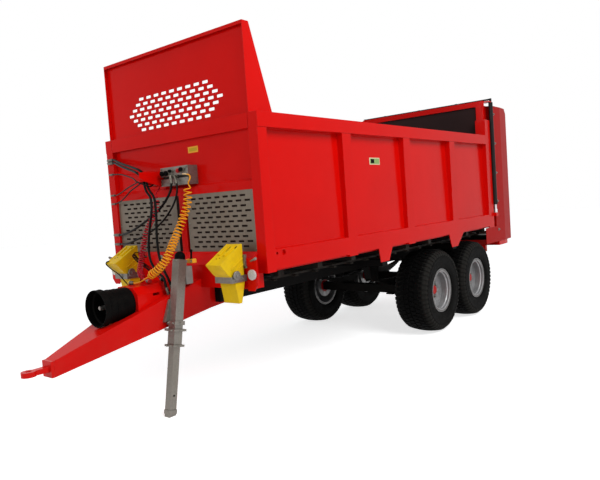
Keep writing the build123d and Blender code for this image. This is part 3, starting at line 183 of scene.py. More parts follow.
class Effect(Enum):
    """Shared effects, each built once as a node group."""

    MOTTLE = "mottle"
    DUST = "dust"
    EDGES = "edges"
    SKIN = "skin"
    SPANGLE = "spangle"
    RINGS = "rings"


class Kind(Enum):
    """Kinds of socket that a shared effect has."""

    NUMBER = "NodeSocketFloat"
    VECTOR = "NodeSocketVector"
    COLOUR = "NodeSocketColor"


class GroupSheet(NodeSheet):
    """The tree of a shared effect, with its named inputs and outputs."""

    KINDS_BY_SIZE = {1: Kind.NUMBER, 3: Kind.VECTOR, 4: Kind.COLOUR}

    def __init__(self, name: str, inputs: dict[str, object], **outputs: Kind) -> None:
        """Starts the group.

        Args:
            name: The group's name.
            inputs: Each input's default: a number, a vector or a colour with its alpha.
            outputs: Each output's kind.
        """
        super().__init__(bpy.data.node_groups.new(name, "ShaderNodeTree"))
        for label, value in inputs.items():
            kind = self.KINDS_BY_SIZE[len(value) if hasattr(value, "__len__") else 1]
            socket = self.tree.interface.new_socket(label, in_out="INPUT", socket_type=kind.value)
            socket.default_value = value
        for label, kind in outputs.items():
            self.tree.interface.new_socket(label, in_out="OUTPUT", socket_type=kind.value)
        self.given = self.add("NodeGroupInput").outputs
        self.out = self.add("NodeGroupOutput")

    def close(self, **outputs: bpy.types.NodeSocket) -> bpy.types.NodeTree:
        """Joins the group's outputs.

        Args:
            outputs: The socket behind each output.

        Returns:
            The finished tree.
        """
        for name, socket in outputs.items():
            self.feed(self.out, name, socket)
        return self.tree


class EffectLibrary:
    """Builds each shared effect when it is first asked for."""

    def __init__(self) -> None:
        """Starts with no group built."""
        self.groups: dict[Effect, bpy.types.NodeTree] = {}

    def group(self, effect: Effect) -> bpy.types.NodeTree:
        """Hands out an effect, built once.

        Args:
            effect: Which one.

        Returns:
            Its node group.
        """
        if effect not in self.groups:
            self.groups[effect] = getattr(self, f"_{effect.value}")()
        return self.groups[effect]

    def _mottle(self) -> bpy.types.NodeTree:
        """Builds a slow drift between two tones of one colour.

        Returns:
            The group.
        """
        sheet = GroupSheet("mottle", {"Color": MID_GREY, "Tone": MID_GREY, "Scale": 2.0,
                                      "Amount": 0.5}, Color=Kind.COLOUR, Mask=Kind.NUMBER)
        given = sheet.given
        mask = sheet.ramp(sheet.noise(given["Scale"], 4.0, 0.6), 0.32, 0.68)
        share = sheet.math("MULTIPLY", mask, given["Amount"])
        return sheet.close(Color=sheet.blend(share, given["Color"], given["Tone"]), Mask=mask)

    def _dust(self) -> bpy.types.NodeTree:
        """Builds road dust that thickens towards the ground and dulls the gloss.

        Returns:
            The group.
        """
        sheet = GroupSheet("dust", {"Color": MID_GREY, "Dust": (0.2, 0.16, 0.12, 1.0),
                                    "Top": 1.6, "Amount": 0.3, "Roughness": 0.4},
                           Color=Kind.COLOUR, Roughness=Kind.NUMBER, Mask=Kind.NUMBER)
        given = sheet.given
        height = sheet.ramp(sheet.split(sheet.place())[2], 0.2, given["Top"], 1.0, 0.0)
        cloud = sheet.ramp(sheet.noise(7.0, 6.0, 0.65), 0.35, 0.75)
        share = sheet.math("MULTIPLY", sheet.math("MULTIPLY", height, cloud), given["Amount"])
        rough = sheet.math("ADD", given["Roughness"], sheet.math("MULTIPLY", share, 0.6))
        return sheet.close(Color=sheet.blend(share, given["Color"], given["Dust"]),
                           Roughness=rough, Mask=share)

    def _edges(self) -> bpy.types.NodeTree:
        """Builds a broken mask along sharp edges, and normals that round those edges.

        Returns:
            The group.
        """
        sheet = GroupSheet("edges", {"Radius": 0.004, "Amount": 0.5},
                           Mask=Kind.NUMBER, Normal=Kind.VECTOR)
        rounded = sheet.add("ShaderNodeBevel", {"Radius": sheet.given["Radius"]},
                            samples=4).outputs[0]
        flat = sheet.add("ShaderNodeNewGeometry").outputs["True Normal"]
        edge = sheet.ramp(sheet.vector("DOT_PRODUCT", rounded, flat, "Value"), 0.995, 0.86)
        broken = sheet.ramp(sheet.noise(34.0, 5.0, 0.7), 0.5, 0.62)
        mask = sheet.math("MULTIPLY", sheet.math("MULTIPLY", edge, broken),
                          sheet.given["Amount"])
        return sheet.close(Mask=mask, Normal=rounded)

    def _skin(self) -> bpy.types.NodeTree:
        """Builds the height of a fine uneven skin, such as paint flow or moulded grain.

        Returns:
            The group.
        """
        sheet = GroupSheet("skin", {"Scale": 60.0, "Grain": 500.0, "Balance": 0.3},
                           Height=Kind.NUMBER, Mask=Kind.NUMBER)
        slow = sheet.noise(sheet.given["Scale"], 2.0, 0.5)
        fine = sheet.noise(sheet.given["Grain"], 2.0, 0.6)
        part = sheet.add("ShaderNodeMix", {0: sheet.given["Balance"], 2: slow, 3: fine})
        return sheet.close(Height=part.outputs[0], Mask=slow)

    def _spangle(self) -> bpy.types.NodeTree:
        """Builds the crystal patches and dull streaks of dipped zinc.

        Returns:
            The group.
        """
        sheet = GroupSheet("spangle", {"Scale": 60.0, "Streak": 6.0},
                           Value=Kind.NUMBER, Streaks=Kind.NUMBER)
        cells = sheet.add("ShaderNodeTexVoronoi", {"Vector": sheet.place(),
                                                   "Scale": sheet.given["Scale"]})
        tone = sheet.add("ShaderNodeSeparateColor", {0: cells.outputs["Color"]}).outputs[0]
        drawn = sheet.add("ShaderNodeMapping", {0: sheet.place(), 3: (1.0, 1.0, 0.16)}).outputs[0]
        streaks = sheet.ramp(sheet.noise(sheet.given["Streak"], 5.0, 0.6, drawn), 0.35, 0.7)
        return sheet.close(Value=tone, Streaks=streaks)

    def _rings(self) -> bpy.types.NodeTree:
        """Builds a point's distance from a cross-wise axis, and a mask inside a radius.

        Returns:
            The group.
        """
        sheet = GroupSheet("rings", {"Centre": (0.0, 0.0, 0.0), "Radius": 0.1, "Blur": 0.004},
                           Mask=Kind.NUMBER, Distance=Kind.NUMBER)
        given = sheet.given
        offset = sheet.vector("SUBTRACT", sheet.place(), given["Centre"])
        radial = sheet.vector("MULTIPLY", offset, (0.0, 1.0, 1.0))
        distance = sheet.vector("LENGTH", radial, output="Value")
        inner = sheet.math("SUBTRACT", given["Radius"], given["Blur"], clamp=False)
        return sheet.close(Mask=sheet.ramp(distance, inner, given["Radius"], 1.0, 0.0),
                           Distance=distance)


# ---- finishes ----------------------------------------------------------------------------------
class Dresser(NodeSheet):
    """A material in the making: its Principled shader and the shared effects round it."""

    def __init__(self, name: str, library: EffectLibrary) -> None:
        """Starts an empty material with its shader.

        Args:
            name: The material's name.
            library: Where the shared effects come from.
        """
        self.material = bpy.data.materials.new(name)
        self.material.use_nodes = True
        super().__init__(self.material.node_tree)
        self.library = library
        self.shader = self.tree.nodes["Principled BSDF"]

    def effect(self, effect: Effect, **inputs: Value) -> bpy.types.bpy_prop_collection:
        """Places a shared effect.

        Args:
            effect: Which one.
            inputs: Values for the group's inputs.

        Returns:
            Its outputs.
        """
        node = self.add("ShaderNodeGroup", node_tree=self.library.group(effect))
        for name, value in inputs.items():
            self.feed(node, name, value)
        return node.outputs

    def shade(self, **values: Value) -> None:
        """Feeds the shader, with underscores for the spaces in its inputs' names."""
        for name, value in values.items():
            self.feed(self.shader, name.replace("_", " "), value)

    def bump(self, height: bpy.types.NodeSocket, strength: float, distance: float,
             normal: bpy.types.NodeSocket | None = None) -> None:
        """Feeds a bump to the shader's normal.

        Args:
            height: The height of the surface.
            strength: How much of it is used.
            distance: The depth that a height of one stands for.
            normal: A normal that the bump starts from.
        """
        inputs = {"Strength": strength, "Distance": distance, "Height": height}
        if normal is not None:
            inputs["Normal"] = normal
        self.shade(Normal=self.add("ShaderNodeBump", inputs).outputs[0])


@dataclass(frozen=True)
class Recipe:
    """What every finish has: a name, and its own way to dress a material."""

    name: str

    def make(self, library: EffectLibrary) -> bpy.types.Material:
        """Makes the finish's material.

        Args:
            library: Where the shared effects come from.

        Returns:
            The material.
        """
        made = Dresser(self.name, library)
        self.dress(made)
        return made.material

    def dress(self, made: Dresser) -> None:
        """Builds the finish on a material. Each finish has its own."""
        raise NotImplementedError


@dataclass(frozen=True)
class Paint(Recipe):
    """Glossy sprayed paint over steel, with dust low down and chips along its edges.

    Some paints darken the inner faces of the load space with a painted shade; its limits are where
    it starts to show and where it is full.
    """

    colour: Colour
    tone: Colour
    roughness: float = 0.2
    coat: float = 0.05
    dust: float = 0.08
    dust_top: float = 1.3
    chip: Colour = (0.16, 0.13, 0.12)
    chips: float = 0.35
    specular: float = 0.05
    # Colour of the painted shade on the inner faces of the load space, where it starts and ends,
    # and its roughness.
    interior_shade: Colour | None = None
    interior_shade_on_sides: tuple[float, float] = (-2.345, -2.33)
    interior_shade_on_front: tuple[float, float] = (-2.2, -2.25)
    interior_shade_top: tuple[float, float] = (2.73, 2.70)
    interior_shade_roughness: float = 0.75

    def inside(self, made: Dresser) -> bpy.types.NodeSocket:
        """Finds the faces that look into the load space, below the top rails.

        Args:
            made: The material.

        Returns:
            Their mask.
        """
        normal = made.split(made.add("ShaderNodeNewGeometry").outputs["True Normal"])
        spot = made.split(made.place())
        inward = made.math("MULTIPLY", normal[0], spot[0], clamp=False)
        sides = made.math("MULTIPLY", made.ramp(inward, -0.3, -0.7),
                          made.ramp(spot[1], *self.interior_shade_on_sides))
        front = made.math("MULTIPLY", made.ramp(normal[1], 0.3, 0.7),
                          made.ramp(spot[1], *self.interior_shade_on_front))
        low = made.ramp(spot[2], *self.interior_shade_top)
        return made.math("MULTIPLY", made.math("MAXIMUM", sides, front), low)

    def dress(self, made: Dresser) -> None:
        """Builds the paint, with painted shade on the inner faces of the load space where it has
        one.

        Args:
            made: The material.
        """
        tone = made.effect(Effect.MOTTLE, Color=self.colour, Tone=self.tone, Scale=1.3,
                           Amount=0.7)
        dusty = made.effect(Effect.DUST, Color=tone["Color"], Top=self.dust_top,
                            Amount=self.dust, Roughness=self.roughness)
        edges = made.effect(Effect.EDGES, Radius=0.005, Amount=self.chips)
        worn = made.blend(edges["Mask"], dusty["Color"], self.chip)
        skin = made.effect(Effect.SKIN, Scale=9.0, Grain=300.0, Balance=0.1)
        rough = made.math("ADD", dusty["Roughness"],
                          made.ramp(skin["Mask"], 0.3, 0.7, 0.0, 0.05))
        # Near-black painted shade on the inner faces of the load space, standing for the dim inside
        # of the body.
        if self.interior_shade:
            inside = self.inside(made)
            worn = made.blend(inside, worn, self.interior_shade)
            rough = made.blend(inside, rough, (self.interior_shade_roughness,) * 3)
        made.shade(Base_Color=worn, Roughness=rough, Coat_Weight=self.coat, Coat_Roughness=0.06,
                   Specular_IOR_Level=self.specular)
        made.bump(skin["Height"], 0.05, 0.004, edges["Normal"])


@dataclass(frozen=True)
class Zinc(Recipe):
    """Hot-dip galvanised steel with its spangle and dull streaks."""

    light: Colour = (0.225, 0.208, 0.182)
    dark: Colour = (0.12, 0.112, 0.098)
    grime: Colour = (0.12, 0.10, 0.075)
    metallic: float = 0.65

    def dress(self, made: Dresser) -> None:
        """Builds the zinc.

        Args:
            made: The material.
        """
        crystals = made.effect(Effect.SPANGLE, Scale=75.0, Streak=5.0)
        patchy = made.blend(crystals["Value"], self.dark, self.light)
        tone = made.blend(0.45, self.light, patchy)
        grime = made.math("MULTIPLY", crystals["Streaks"], 0.35)
        stained = made.blend(grime, tone, self.grime)
        edges = made.effect(Effect.EDGES, Radius=0.002, Amount=0.5)
        worn = made.blend(edges["Mask"], stained, self.light)
        rough = made.ramp(crystals["Value"], 0.0, 1.0, 0.34, 0.52)
        skin = made.effect(Effect.SKIN, Scale=45.0, Grain=300.0, Balance=0.4)
        made.shade(Base_Color=worn, Roughness=rough, Metallic=self.metallic)
        made.bump(skin["Height"], 0.2, 0.003, edges["Normal"])


@dataclass(frozen=True)
class BareSteel(Recipe):
    """Steel that has lost its paint to the load: bright ridges over brown-grey hollows."""

    bright: Colour = (0.34, 0.32, 0.30)
    dull: Colour = (0.13, 0.10, 0.085)
    metallic: float = 0.7
    specular: float = 0.4

    def dress(self, made: Dresser) -> None:
        """Builds the steel.

        Args:
            made: The material.
        """
        tone = made.effect(Effect.MOTTLE, Color=self.bright, Tone=self.dull, Scale=9.0,
                           Amount=0.85)
        edges = made.effect(Effect.EDGES, Radius=0.003, Amount=0.9)
        worn = made.blend(edges["Mask"], tone["Color"], self.bright)
        rough = made.ramp(tone["Mask"], 0.0, 1.0, 0.32, 0.68)
        skin = made.effect(Effect.SKIN, Scale=70.0, Grain=380.0, Balance=0.5)
        made.shade(Base_Color=worn, Roughness=rough, Metallic=self.metallic,
                   Specular_IOR_Level=self.specular)
        made.bump(skin["Height"], 0.35, 0.003, edges["Normal"])


@dataclass(frozen=True)
class Moulded(Recipe):
    """Rubber or plastic with a moulded grain, scuffs and dust."""

    colour: Colour
    tone: Colour
    roughness: float = 0.5
    grain: float = 400.0
    depth: float = 0.0012
    dust: float = 0.3
    dust_top: float = 2.0
    radius: float = 0.003
    specular: float = 0.15

    def dress(self, made: Dresser) -> None:
        """Builds the rubber or plastic.

        Args:
            made: The material.
        """
        tone = made.effect(Effect.MOTTLE, Color=self.colour, Tone=self.tone, Scale=14.0,
                           Amount=0.8)
        dusty = made.effect(Effect.DUST, Color=tone["Color"], Top=self.dust_top,
                            Amount=self.dust, Roughness=self.roughness)
        skin = made.effect(Effect.SKIN, Scale=35.0, Grain=self.grain, Balance=0.6)
        edges = made.effect(Effect.EDGES, Radius=self.radius, Amount=0.4)
        made.shade(Base_Color=dusty["Color"], Roughness=dusty["Roughness"],
                   Specular_IOR_Level=self.specular)
        made.bump(skin["Height"], 0.4, self.depth, edges["Normal"])


@dataclass(frozen=True)
class TyreRubber(Recipe):
    """Tread rubber: black in the grooves, greyer on the sidewalls, with fine rings."""

    black: Colour = (0.0022, 0.0022, 0.0023)
    grey: Colour = (0.0040, 0.0039, 0.0037)
    dust: Colour = (0.012, 0.011, 0.0095)
    # Colour of the edge scuffs and of the painted highlight on the shoulder lugs.
    lug_highlight_and_scuff: Colour = (0.022, 0.021, 0.019)
    shoulder: tuple[float, float] = (0.497, 0.560)
    rings_per_metre: float = 900.0

    def dress(self, made: Dresser) -> None:
        """Builds the rubber, with a painted highlight on its shoulder lugs, scuffs along its edges
        and its moulded rings.

        Args:
            made: The material.
        """
        radial = made.effect(Effect.RINGS, Radius=0.55, Blur=0.1)
        side = made.blend(radial["Mask"], self.black, self.grey)
        cloud = made.ramp(made.noise(11.0, 6.0, 0.7), 0.45, 0.8, 0.0, 0.4)
        dusty = made.blend(cloud, side, self.dust)
        edges = made.effect(Effect.EDGES, Radius=0.006, Amount=0.9)
        # A lighter band over the shoulder lugs is a painted highlight for the light on their faces;
        # the edge mask adds real scuffs.
        low, high = self.shoulder
        band = made.between(radial["Distance"], low - 0.006, low, high, high + 0.008)
        highlight_and_wear_mask = made.math("MAXIMUM", made.math("MULTIPLY", band, 0.8), edges["Mask"])
        worn = made.blend(highlight_and_wear_mask, dusty, self.lug_highlight_and_scuff)
        turns = made.math("MULTIPLY", radial["Distance"], self.rings_per_metre, clamp=False)
        rings = made.math("MULTIPLY", made.math("SINE", turns), radial["Mask"])
        skin = made.effect(Effect.SKIN, Scale=60.0, Grain=260.0, Balance=0.5)
        height = made.math("ADD", made.math("MULTIPLY", rings, 0.25),
                           made.math("MULTIPLY", skin["Height"], 0.6))
        made.shade(Base_Color=worn, Roughness=made.ramp(cloud, 0.0, 0.4, 0.62, 0.9),
                   Specular_IOR_Level=0.03)
        made.bump(height, 0.5, 0.003, edges["Normal"])


@dataclass(frozen=True)
class WheelPaint(Recipe):
    """Silver wheel paint with a red hub, and darkening round it that is partly brake dust and
    partly painted shade on the recessed disc.
    """

    centre: Point
    silver: Colour = (0.42, 0.42, 0.425)
    tone: Colour = (0.26, 0.26, 0.26)
    flange: Colour = (0.12, 0.115, 0.11)
    flange_radii: tuple[float, float] = (0.2765, 0.302)
    hub: Colour = (0.40, 0.006, 0.005)
    # Colour and reach of the brake dust and painted shade round the hub.
    brake_dust_and_shade: Colour = (0.03, 0.026, 0.023)
    brake_dust_and_shade_radius: float = 0.27
    hub_radius: float = 0.101

    def dress(self, made: Dresser) -> None:
        """Builds the paint round the wheel's centre.

        Args:
            made: The material.
        """
        hub = made.effect(Effect.RINGS, Centre=self.centre, Radius=self.hub_radius,
                          Blur=0.002)["Mask"]
        # Darkens round the hub out towards the barrel: brake dust, and painted shade for the
        # recessed disc.
        ring = made.effect(Effect.RINGS, Centre=self.centre, Radius=self.brake_dust_and_shade_radius, Blur=0.12)
        tone = made.effect(Effect.MOTTLE, Color=self.silver, Tone=self.tone, Scale=8.0,
                           Amount=0.7)
        cloud = made.ramp(made.noise(16.0, 5.0, 0.65), 0.3, 0.75, 0.2, 0.85)
        brake_dust_and_shade = made.math("MULTIPLY", ring["Mask"], cloud)
        grey = made.blend(brake_dust_and_shade, tone["Color"], self.brake_dust_and_shade)
        low, high = self.flange_radii
        rim = made.between(ring["Distance"], low, low + 0.002, high, high + 0.002)
        grey = made.blend(rim, grey, self.flange)
        edges = made.effect(Effect.EDGES, Radius=0.003, Amount=0.3)
        skin = made.effect(Effect.SKIN, Scale=50.0, Grain=380.0, Balance=0.3)
        made.shade(Base_Color=made.blend(hub, grey, self.hub),
                   Metallic=made.ramp(hub, 0.0, 1.0, 0.6, 0.0),
                   Roughness=made.ramp(tone["Mask"], 0.0, 1.0, 0.3, 0.5),
                   Specular_IOR_Level=0.15)
        made.bump(skin["Height"], 0.2, 0.002, edges["Normal"])


@dataclass(frozen=True)
class Lens(Recipe):
    """Moulded reflector or lamp lens with a fine prism pattern behind a smooth face."""

    colour: Colour
    deep: Colour
    prisms: float = 130.0
    tail: Colour = (0.42, 0.006, 0.005)
    turn_signal: Colour = (0.80, 0.22, 0.008)
    signal_x: float = 0.715

    def at_rear(self, made: Dresser, front: bpy.types.NodeSocket) -> bpy.types.NodeSocket:
        """Changes the colour behind the axles to red and amber.

        Args:
            made: The material.
            front: The colour of the front lenses.

        Returns:
            The colour of all lenses.
        """
        spot = made.split(made.place())
        across = made.math("ABSOLUTE", spot[0])
        outer = made.ramp(across, self.signal_x, self.signal_x + 0.002)
        lamp = made.blend(outer, self.tail, self.turn_signal)
        return made.blend(made.ramp(spot[1], 0.0, 1.0), front, lamp)

    def dress(self, made: Dresser) -> None:
        """Builds the lens.

        Args:
            made: The material.
        """
        cells = made.add("ShaderNodeTexVoronoi", {"Vector": made.place(), "Scale": self.prisms},
                         distance="CHEBYCHEV").outputs["Distance"]
        mask = made.ramp(cells, 0.1, 0.6)
        colour = made.blend(mask, self.colour, self.deep)
        made.shade(Base_Color=self.at_rear(made, colour), Coat_Weight=0.8, Coat_Roughness=0.03,
                   Roughness=made.ramp(mask, 0.0, 1.0, 0.08, 0.2))
        made.bump(cells, 0.35, 0.002)


class Finish(Enum):
    """The spreader's finishes."""

    RED = Paint("red_paint", (0.66, 0.003, 0.0015), (0.58, 0.0025, 0.001))
    # Body paint, whose inner faces in the load space are darkened with painted shade.
    BODY_RED = Paint("body_paint", (0.66, 0.003, 0.0015), (0.58, 0.0025, 0.001),
                     interior_shade=(0.020, 0.012, 0.010))
    # A darker, matt copy of the red paint: painted shade for the shields, whose faces lie in shade.
    SHADED_SHIELD_RED = Paint("shaded_shield_paint", (0.44, 0.0022, 0.001), (0.38, 0.0018, 0.0008), 0.3, 0.0,
                       specular=0.02)
    BLACK = Paint("black_paint", (0.0035, 0.003, 0.003), (0.006, 0.0055, 0.005), 0.5, 0.0,
                  0.04, 1.3, (0.02, 0.018, 0.016), 0.25, 0.03)
    DOOR_SHEET = Paint("dark_sheet", (0.024, 0.013, 0.013), (0.036, 0.018, 0.017), 0.5, 0.0,
                       0.2, 3.0, (0.12, 0.09, 0.08), 0.4)
    BARREL = Paint("barrel_paint", (0.014, 0.014, 0.014), (0.022, 0.021, 0.02), 0.3, 0.1,
                   0.3, 2.5, (0.1, 0.09, 0.08), 0.2)
    ZINC = Zinc("galvanised")
    SCREEN_ZINC = Zinc("screen_zinc", (0.185, 0.150, 0.112), (0.12, 0.096, 0.070),
                       (0.085, 0.058, 0.034), 0.3)
    FITTING = Zinc("plated_fitting", (0.17, 0.155, 0.125), (0.09, 0.08, 0.065),
                   (0.05, 0.042, 0.034), 0.7)
    STEEL = BareSteel("bare_steel")
    # Near-black bare steel: painted shade for the floor and the floor chain in the dim load space.
    SHADED_WORN_FLOOR = BareSteel("shaded_floor_steel", (0.024, 0.019, 0.015), (0.009, 0.007, 0.006), 0.05,
                           0.05)
    CHROME = BareSteel("chrome_rod", (0.78, 0.78, 0.79), (0.62, 0.62, 0.63), 1.0)
    HOSE = Moulded("black_hose", (0.003, 0.003, 0.003), (0.006, 0.0058, 0.0055), 0.4, 700.0,
                   0.0006, 0.03, 2.8, specular=0.06)
    CABLE = Moulded("black_cable", (0.0035, 0.0035, 0.0035), (0.007, 0.0068, 0.0065), 0.45, 600.0,
                    0.0004, 0.03, 2.8, specular=0.06)
    BELL = Moulded("black_plastic", (0.0022, 0.0022, 0.0022), (0.004, 0.0038, 0.0036), 0.55,
                   300.0, 0.001, 0.02, specular=0.03)
    YELLOW_HOSE = Moulded("yellow_hose", (0.87, 0.37, 0.010), (0.80, 0.31, 0.008), 0.3, 300.0,
                          0.0003, 0.1, 1.6, 0.001)
    IVORY_HOSE = Moulded("ivory_hose", (0.80, 0.62, 0.36), (0.72, 0.52, 0.26), 0.3, 300.0,
                         0.0003, 0.05, 1.6, 0.001)
    RED_HOSE = Moulded("red_hose", (0.50, 0.006, 0.020), (0.40, 0.005, 0.014), 0.3, 300.0,
                       0.0003, 0.1, 1.6, 0.001)
    YELLOW = Moulded("yellow_plastic", (0.78, 0.52, 0.004), (0.66, 0.42, 0.003), 0.42, 260.0,
                     0.0012, 0.2, 1.9, 0.005)
    TYRE = TyreRubber("tyre_rubber")
    CLEAR_LENS = Lens("clear_lens", (0.78, 0.77, 0.74), (0.50, 0.49, 0.47))
    RED_CAP = Moulded("red_cap", (0.42, 0.012, 0.014), (0.34, 0.010, 0.010), 0.4)
    LABEL = Moulded("yellow_label", (0.88, 0.43, 0.035), (0.82, 0.37, 0.03), 0.35, 200.0,
                    0.0002, 0.05, 2.8, 0.001)
    LABEL_FIELD = Moulded("olive_field", (0.56, 0.36, 0.015), (0.50, 0.31, 0.012), 0.35, 200.0,
                          0.0002, 0.05, 2.8, 0.001)
    PLATE = Moulded("green_plate", (0.28, 0.42, 0.14), (0.22, 0.34, 0.10), 0.35, 200.0,
                    0.0002, 0.05, 2.8, 0.001)
    PLATE_RIM = Moulded("pale_rim", (0.74, 0.66, 0.44), (0.68, 0.58, 0.36), 0.35, 200.0,
                        0.0002, 0.05, 2.8, 0.001)
    GREY_BOX = Moulded("grey_box", (0.25, 0.24, 0.22), (0.19, 0.18, 0.165), 0.5)
    FLOOR = Moulded("studio_floor", (0.80, 0.80, 0.80), (0.79, 0.79, 0.79), 0.8, 100.0,
                    0.0001, 0.0, 0.3, 0.001, 0.1)


class Palette:
    """Hands out one material for each finish."""

    def __init__(self) -> None:
        """Starts with no material made."""
        self.library = EffectLibrary()
        self.made: dict[str, bpy.types.Material] = {}

    def of(self, finish: Union[Finish, Recipe]) -> bpy.types.Material:
        """Hands out a finish's material, made once.

        Args:
            finish: The finish.

        Returns:
            Its material.
        """
        recipe = finish.value if isinstance(finish, Finish) else finish
        if recipe.name not in self.made:
            self.made[recipe.name] = recipe.make(self.library)
        return self.made[recipe.name]


# ---- meshes ------------------------------------------------------------------------------------
def frame_along(direction: Vector, start: Vector) -> Matrix:
    """Returns a frame at start whose Z axis points along the direction."""
    return Matrix.Translation(start) @ direction.to_track_quat("Z", "Y").to_matrix().to_4x4()


def on_side(point: Point, sign: int) -> Vector:
    """Returns a point or direction of the left side, mirrored where the sign is -1."""
    return Vector((sign * point[0], point[1], point[2]))


def place_object(name: str, data: bpy.types.ID) -> bpy.types.Object:
    """Puts new data into the scene.

    Args:
        name: The object's name.
        data: Its mesh, curve, lamp or camera.

    Returns:
        The object.
    """
    piece = bpy.data.objects.new(name, data)
    bpy.context.scene.collection.objects.link(piece)
    return piece


class Shaper:
    """Gathers the faces of one piece and turns them into an object."""

    def __init__(self, palette: Palette) -> None:
        """Starts with an empty mesh."""
        self.mesh = bmesh.new()
        self.palette = palette

    def hoop(self, radius: float, height: float, place: Matrix, steps: int
             ) -> list[bmesh.types.BMVert]:
        """Adds a circle of points round the place's Z axis.

        Args:
            radius: The circle's radius.
            height: How far along the axis it lies.
            place: Where the axis stands.
            steps: How many points it has.

        Returns:
            The points.
        """
        angles = [math.tau * step / steps for step in range(steps)]
        return [self.mesh.verts.new(place @ Vector((
            radius * math.cos(angle), radius * math.sin(angle), height))) for angle in angles]

    def wall(self, low: Sequence[bmesh.types.BMVert], high: Sequence[bmesh.types.BMVert]) -> None:
        """Adds the faces between two closed rows of points.

        Args:
            low: One row.
            high: The other, with as many points.
        """
        for step, (near, far) in enumerate(zip(low, high)):
            ahead = (step + 1) % len(low)
            self.mesh.faces.new((near, low[ahead], high[ahead], far))

    def lathe(self, profile: Profile, place: Matrix, steps: int = 32) -> None:
        """Turns a profile round the place's Z axis.

        Args:
            profile: Radius and height of each point.
            place: Where the turning stands.
            steps: Steps round the axis, 6 for a hexagon.
        """
        hoops = [self.hoop(radius, height, place, steps) for radius, height in profile]
        for low, high in zip(hoops, hoops[1:]):
            self.wall(low, high)
        self.mesh.faces.new(list(reversed(hoops[0])))
        self.mesh.faces.new(hoops[-1])

    def ring(self, profile: Profile, place: Matrix, steps: int = 72) -> None:
        """Turns a closed profile round the place's Z axis.

        Args:
            profile: Radius and height of each point.
            place: Where the turning stands.
            steps: Steps round the axis.
        """
        hoops = [self.hoop(radius, height, place, steps) for radius, height in profile]
        for low, high in zip(hoops, hoops[1:] + hoops[:1]):
            self.wall(low, high)

    def block(self, centre: Sequence[float], size: Sequence[float],
              turn: Matrix | None = None) -> None:
        """Adds a box.

        Args:
            centre: Its middle.
            size: Its three sizes.
            turn: How it is turned.
        """
        place = Matrix.Translation(Vector(centre)) @ (turn.to_4x4() if turn else Matrix())
        place = place @ Matrix.Diagonal((*size, 1.0))
        bmesh.ops.create_cube(self.mesh, size=1.0, matrix=place)

    def tube(self, line: Sequence[Vector], radius: float, sides: int) -> None:
        """Adds a round bar with closed ends along a line.

        Args:
            line: The bar's middle line.
            radius: Half its thickness.
            sides: Faces round it.
        """
        rings = []
        side = Vector((0.31, 0.57, 0.76))
        for number, spot in enumerate(line):
            before, after = line[max(number - 1, 0)], line[min(number + 1, len(line) - 1)]
            ahead = (after - before).normalized()
            side = (side - ahead * side.dot(ahead)).normalized()
            up = ahead.cross(side)
            rings.append([self.mesh.verts.new(
                spot + radius * (side * math.cos(math.tau * k / sides)
                                 + up * math.sin(math.tau * k / sides)))
                for k in range(sides)])
        for low, high in zip(rings, rings[1:]):
            self.wall(low, high)
        self.mesh.faces.new(list(reversed(rings[0])))
        self.mesh.faces.new(rings[-1])

    def bolt(self, spot: Vector, direction: Vector, size: float = 0.009) -> None:
        """Adds a bolt's end with its hexagon and washer.

        Args:
            spot: Where it sits on the surface.
            direction: Which way is out.
            size: The hexagon's radius.
        """
        place = frame_along(direction, spot)
        washer = ((size * 1.55, -0.001), (size * 1.55, 0.0018), (size * 1.2, 0.0024))
        self.lathe(washer, place, 20)
        self.lathe(((size, 0.0016), (size, size * 0.9), (size * 0.82, size * 1.15)), place, 6)
        self.lathe(((size * 0.5, size), (size * 0.5, size * 1.5), (size * 0.4, size * 1.65)),
                   place, 12)

    def put(self, name: str, body: str, finish: Union[Finish, Recipe], bevel: float = 0.0,
            smooth: float = 35.0, slot: str = "") -> bpy.types.Object:
        """Turns the mesh into a piece that rides on a body.

        Args:
            name: The piece's name.
            body: The body that carries it.
            finish: What it is painted with or made of.
            bevel: Width of its rounded edges.
            smooth: Largest angle in degrees that still shades round.
            slot: The record's material slot; not used.

        Returns:
            The new piece.
        """
        bmesh.ops.recalc_face_normals(self.mesh, faces=self.mesh.faces)
        data = bpy.data.meshes.new(name)
        self.mesh.to_mesh(data)
        self.mesh.free()
        data.polygons.foreach_set("use_smooth", [True] * len(data.polygons))
        data.set_sharp_from_angle(angle=math.radians(smooth))
        data.materials.append(self.palette.of(finish))
        piece = place_object(name, data)
        if bevel:
            soft = piece.modifiers.new("rounded_edges", "BEVEL")
            soft.width = bevel
            soft.segments = 2
            soft.limit_method = "ANGLE"
            soft.harden_normals = True
        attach(piece, body)
        return piece


# ---- hoses and cables --------------------------------------------------------------------------
def spline_curve(name: str, points: Iterable[Sequence[float]], radius: float,
                 resolution: int = 10) -> bpy.types.Object:
    """Makes a round curve of one smooth spline.

    Args:
        name: The curve's name.
        points: Its control points.
        radius: Half its thickness, or 0 for the bare line.
        resolution: Steps between control points.

    Returns:
        The curve's object, in the scene.
    """
    curve = bpy.data.curves.new(name, "CURVE")
    curve.dimensions = "3D"
    spline = curve.splines.new("NURBS")
    listed = [tuple(point) for point in points]
    spline.points.add(len(listed) - 1)
    for control, point in zip(spline.points, listed):
        control.co = (*point, 1.0)
    spline.order_u = 3
    spline.use_endpoint_u = True
    curve.resolution_u = resolution
    curve.bevel_depth = radius
    curve.bevel_resolution = 4
    curve.use_fill_caps = radius > 0
    return place_object(name, curve)


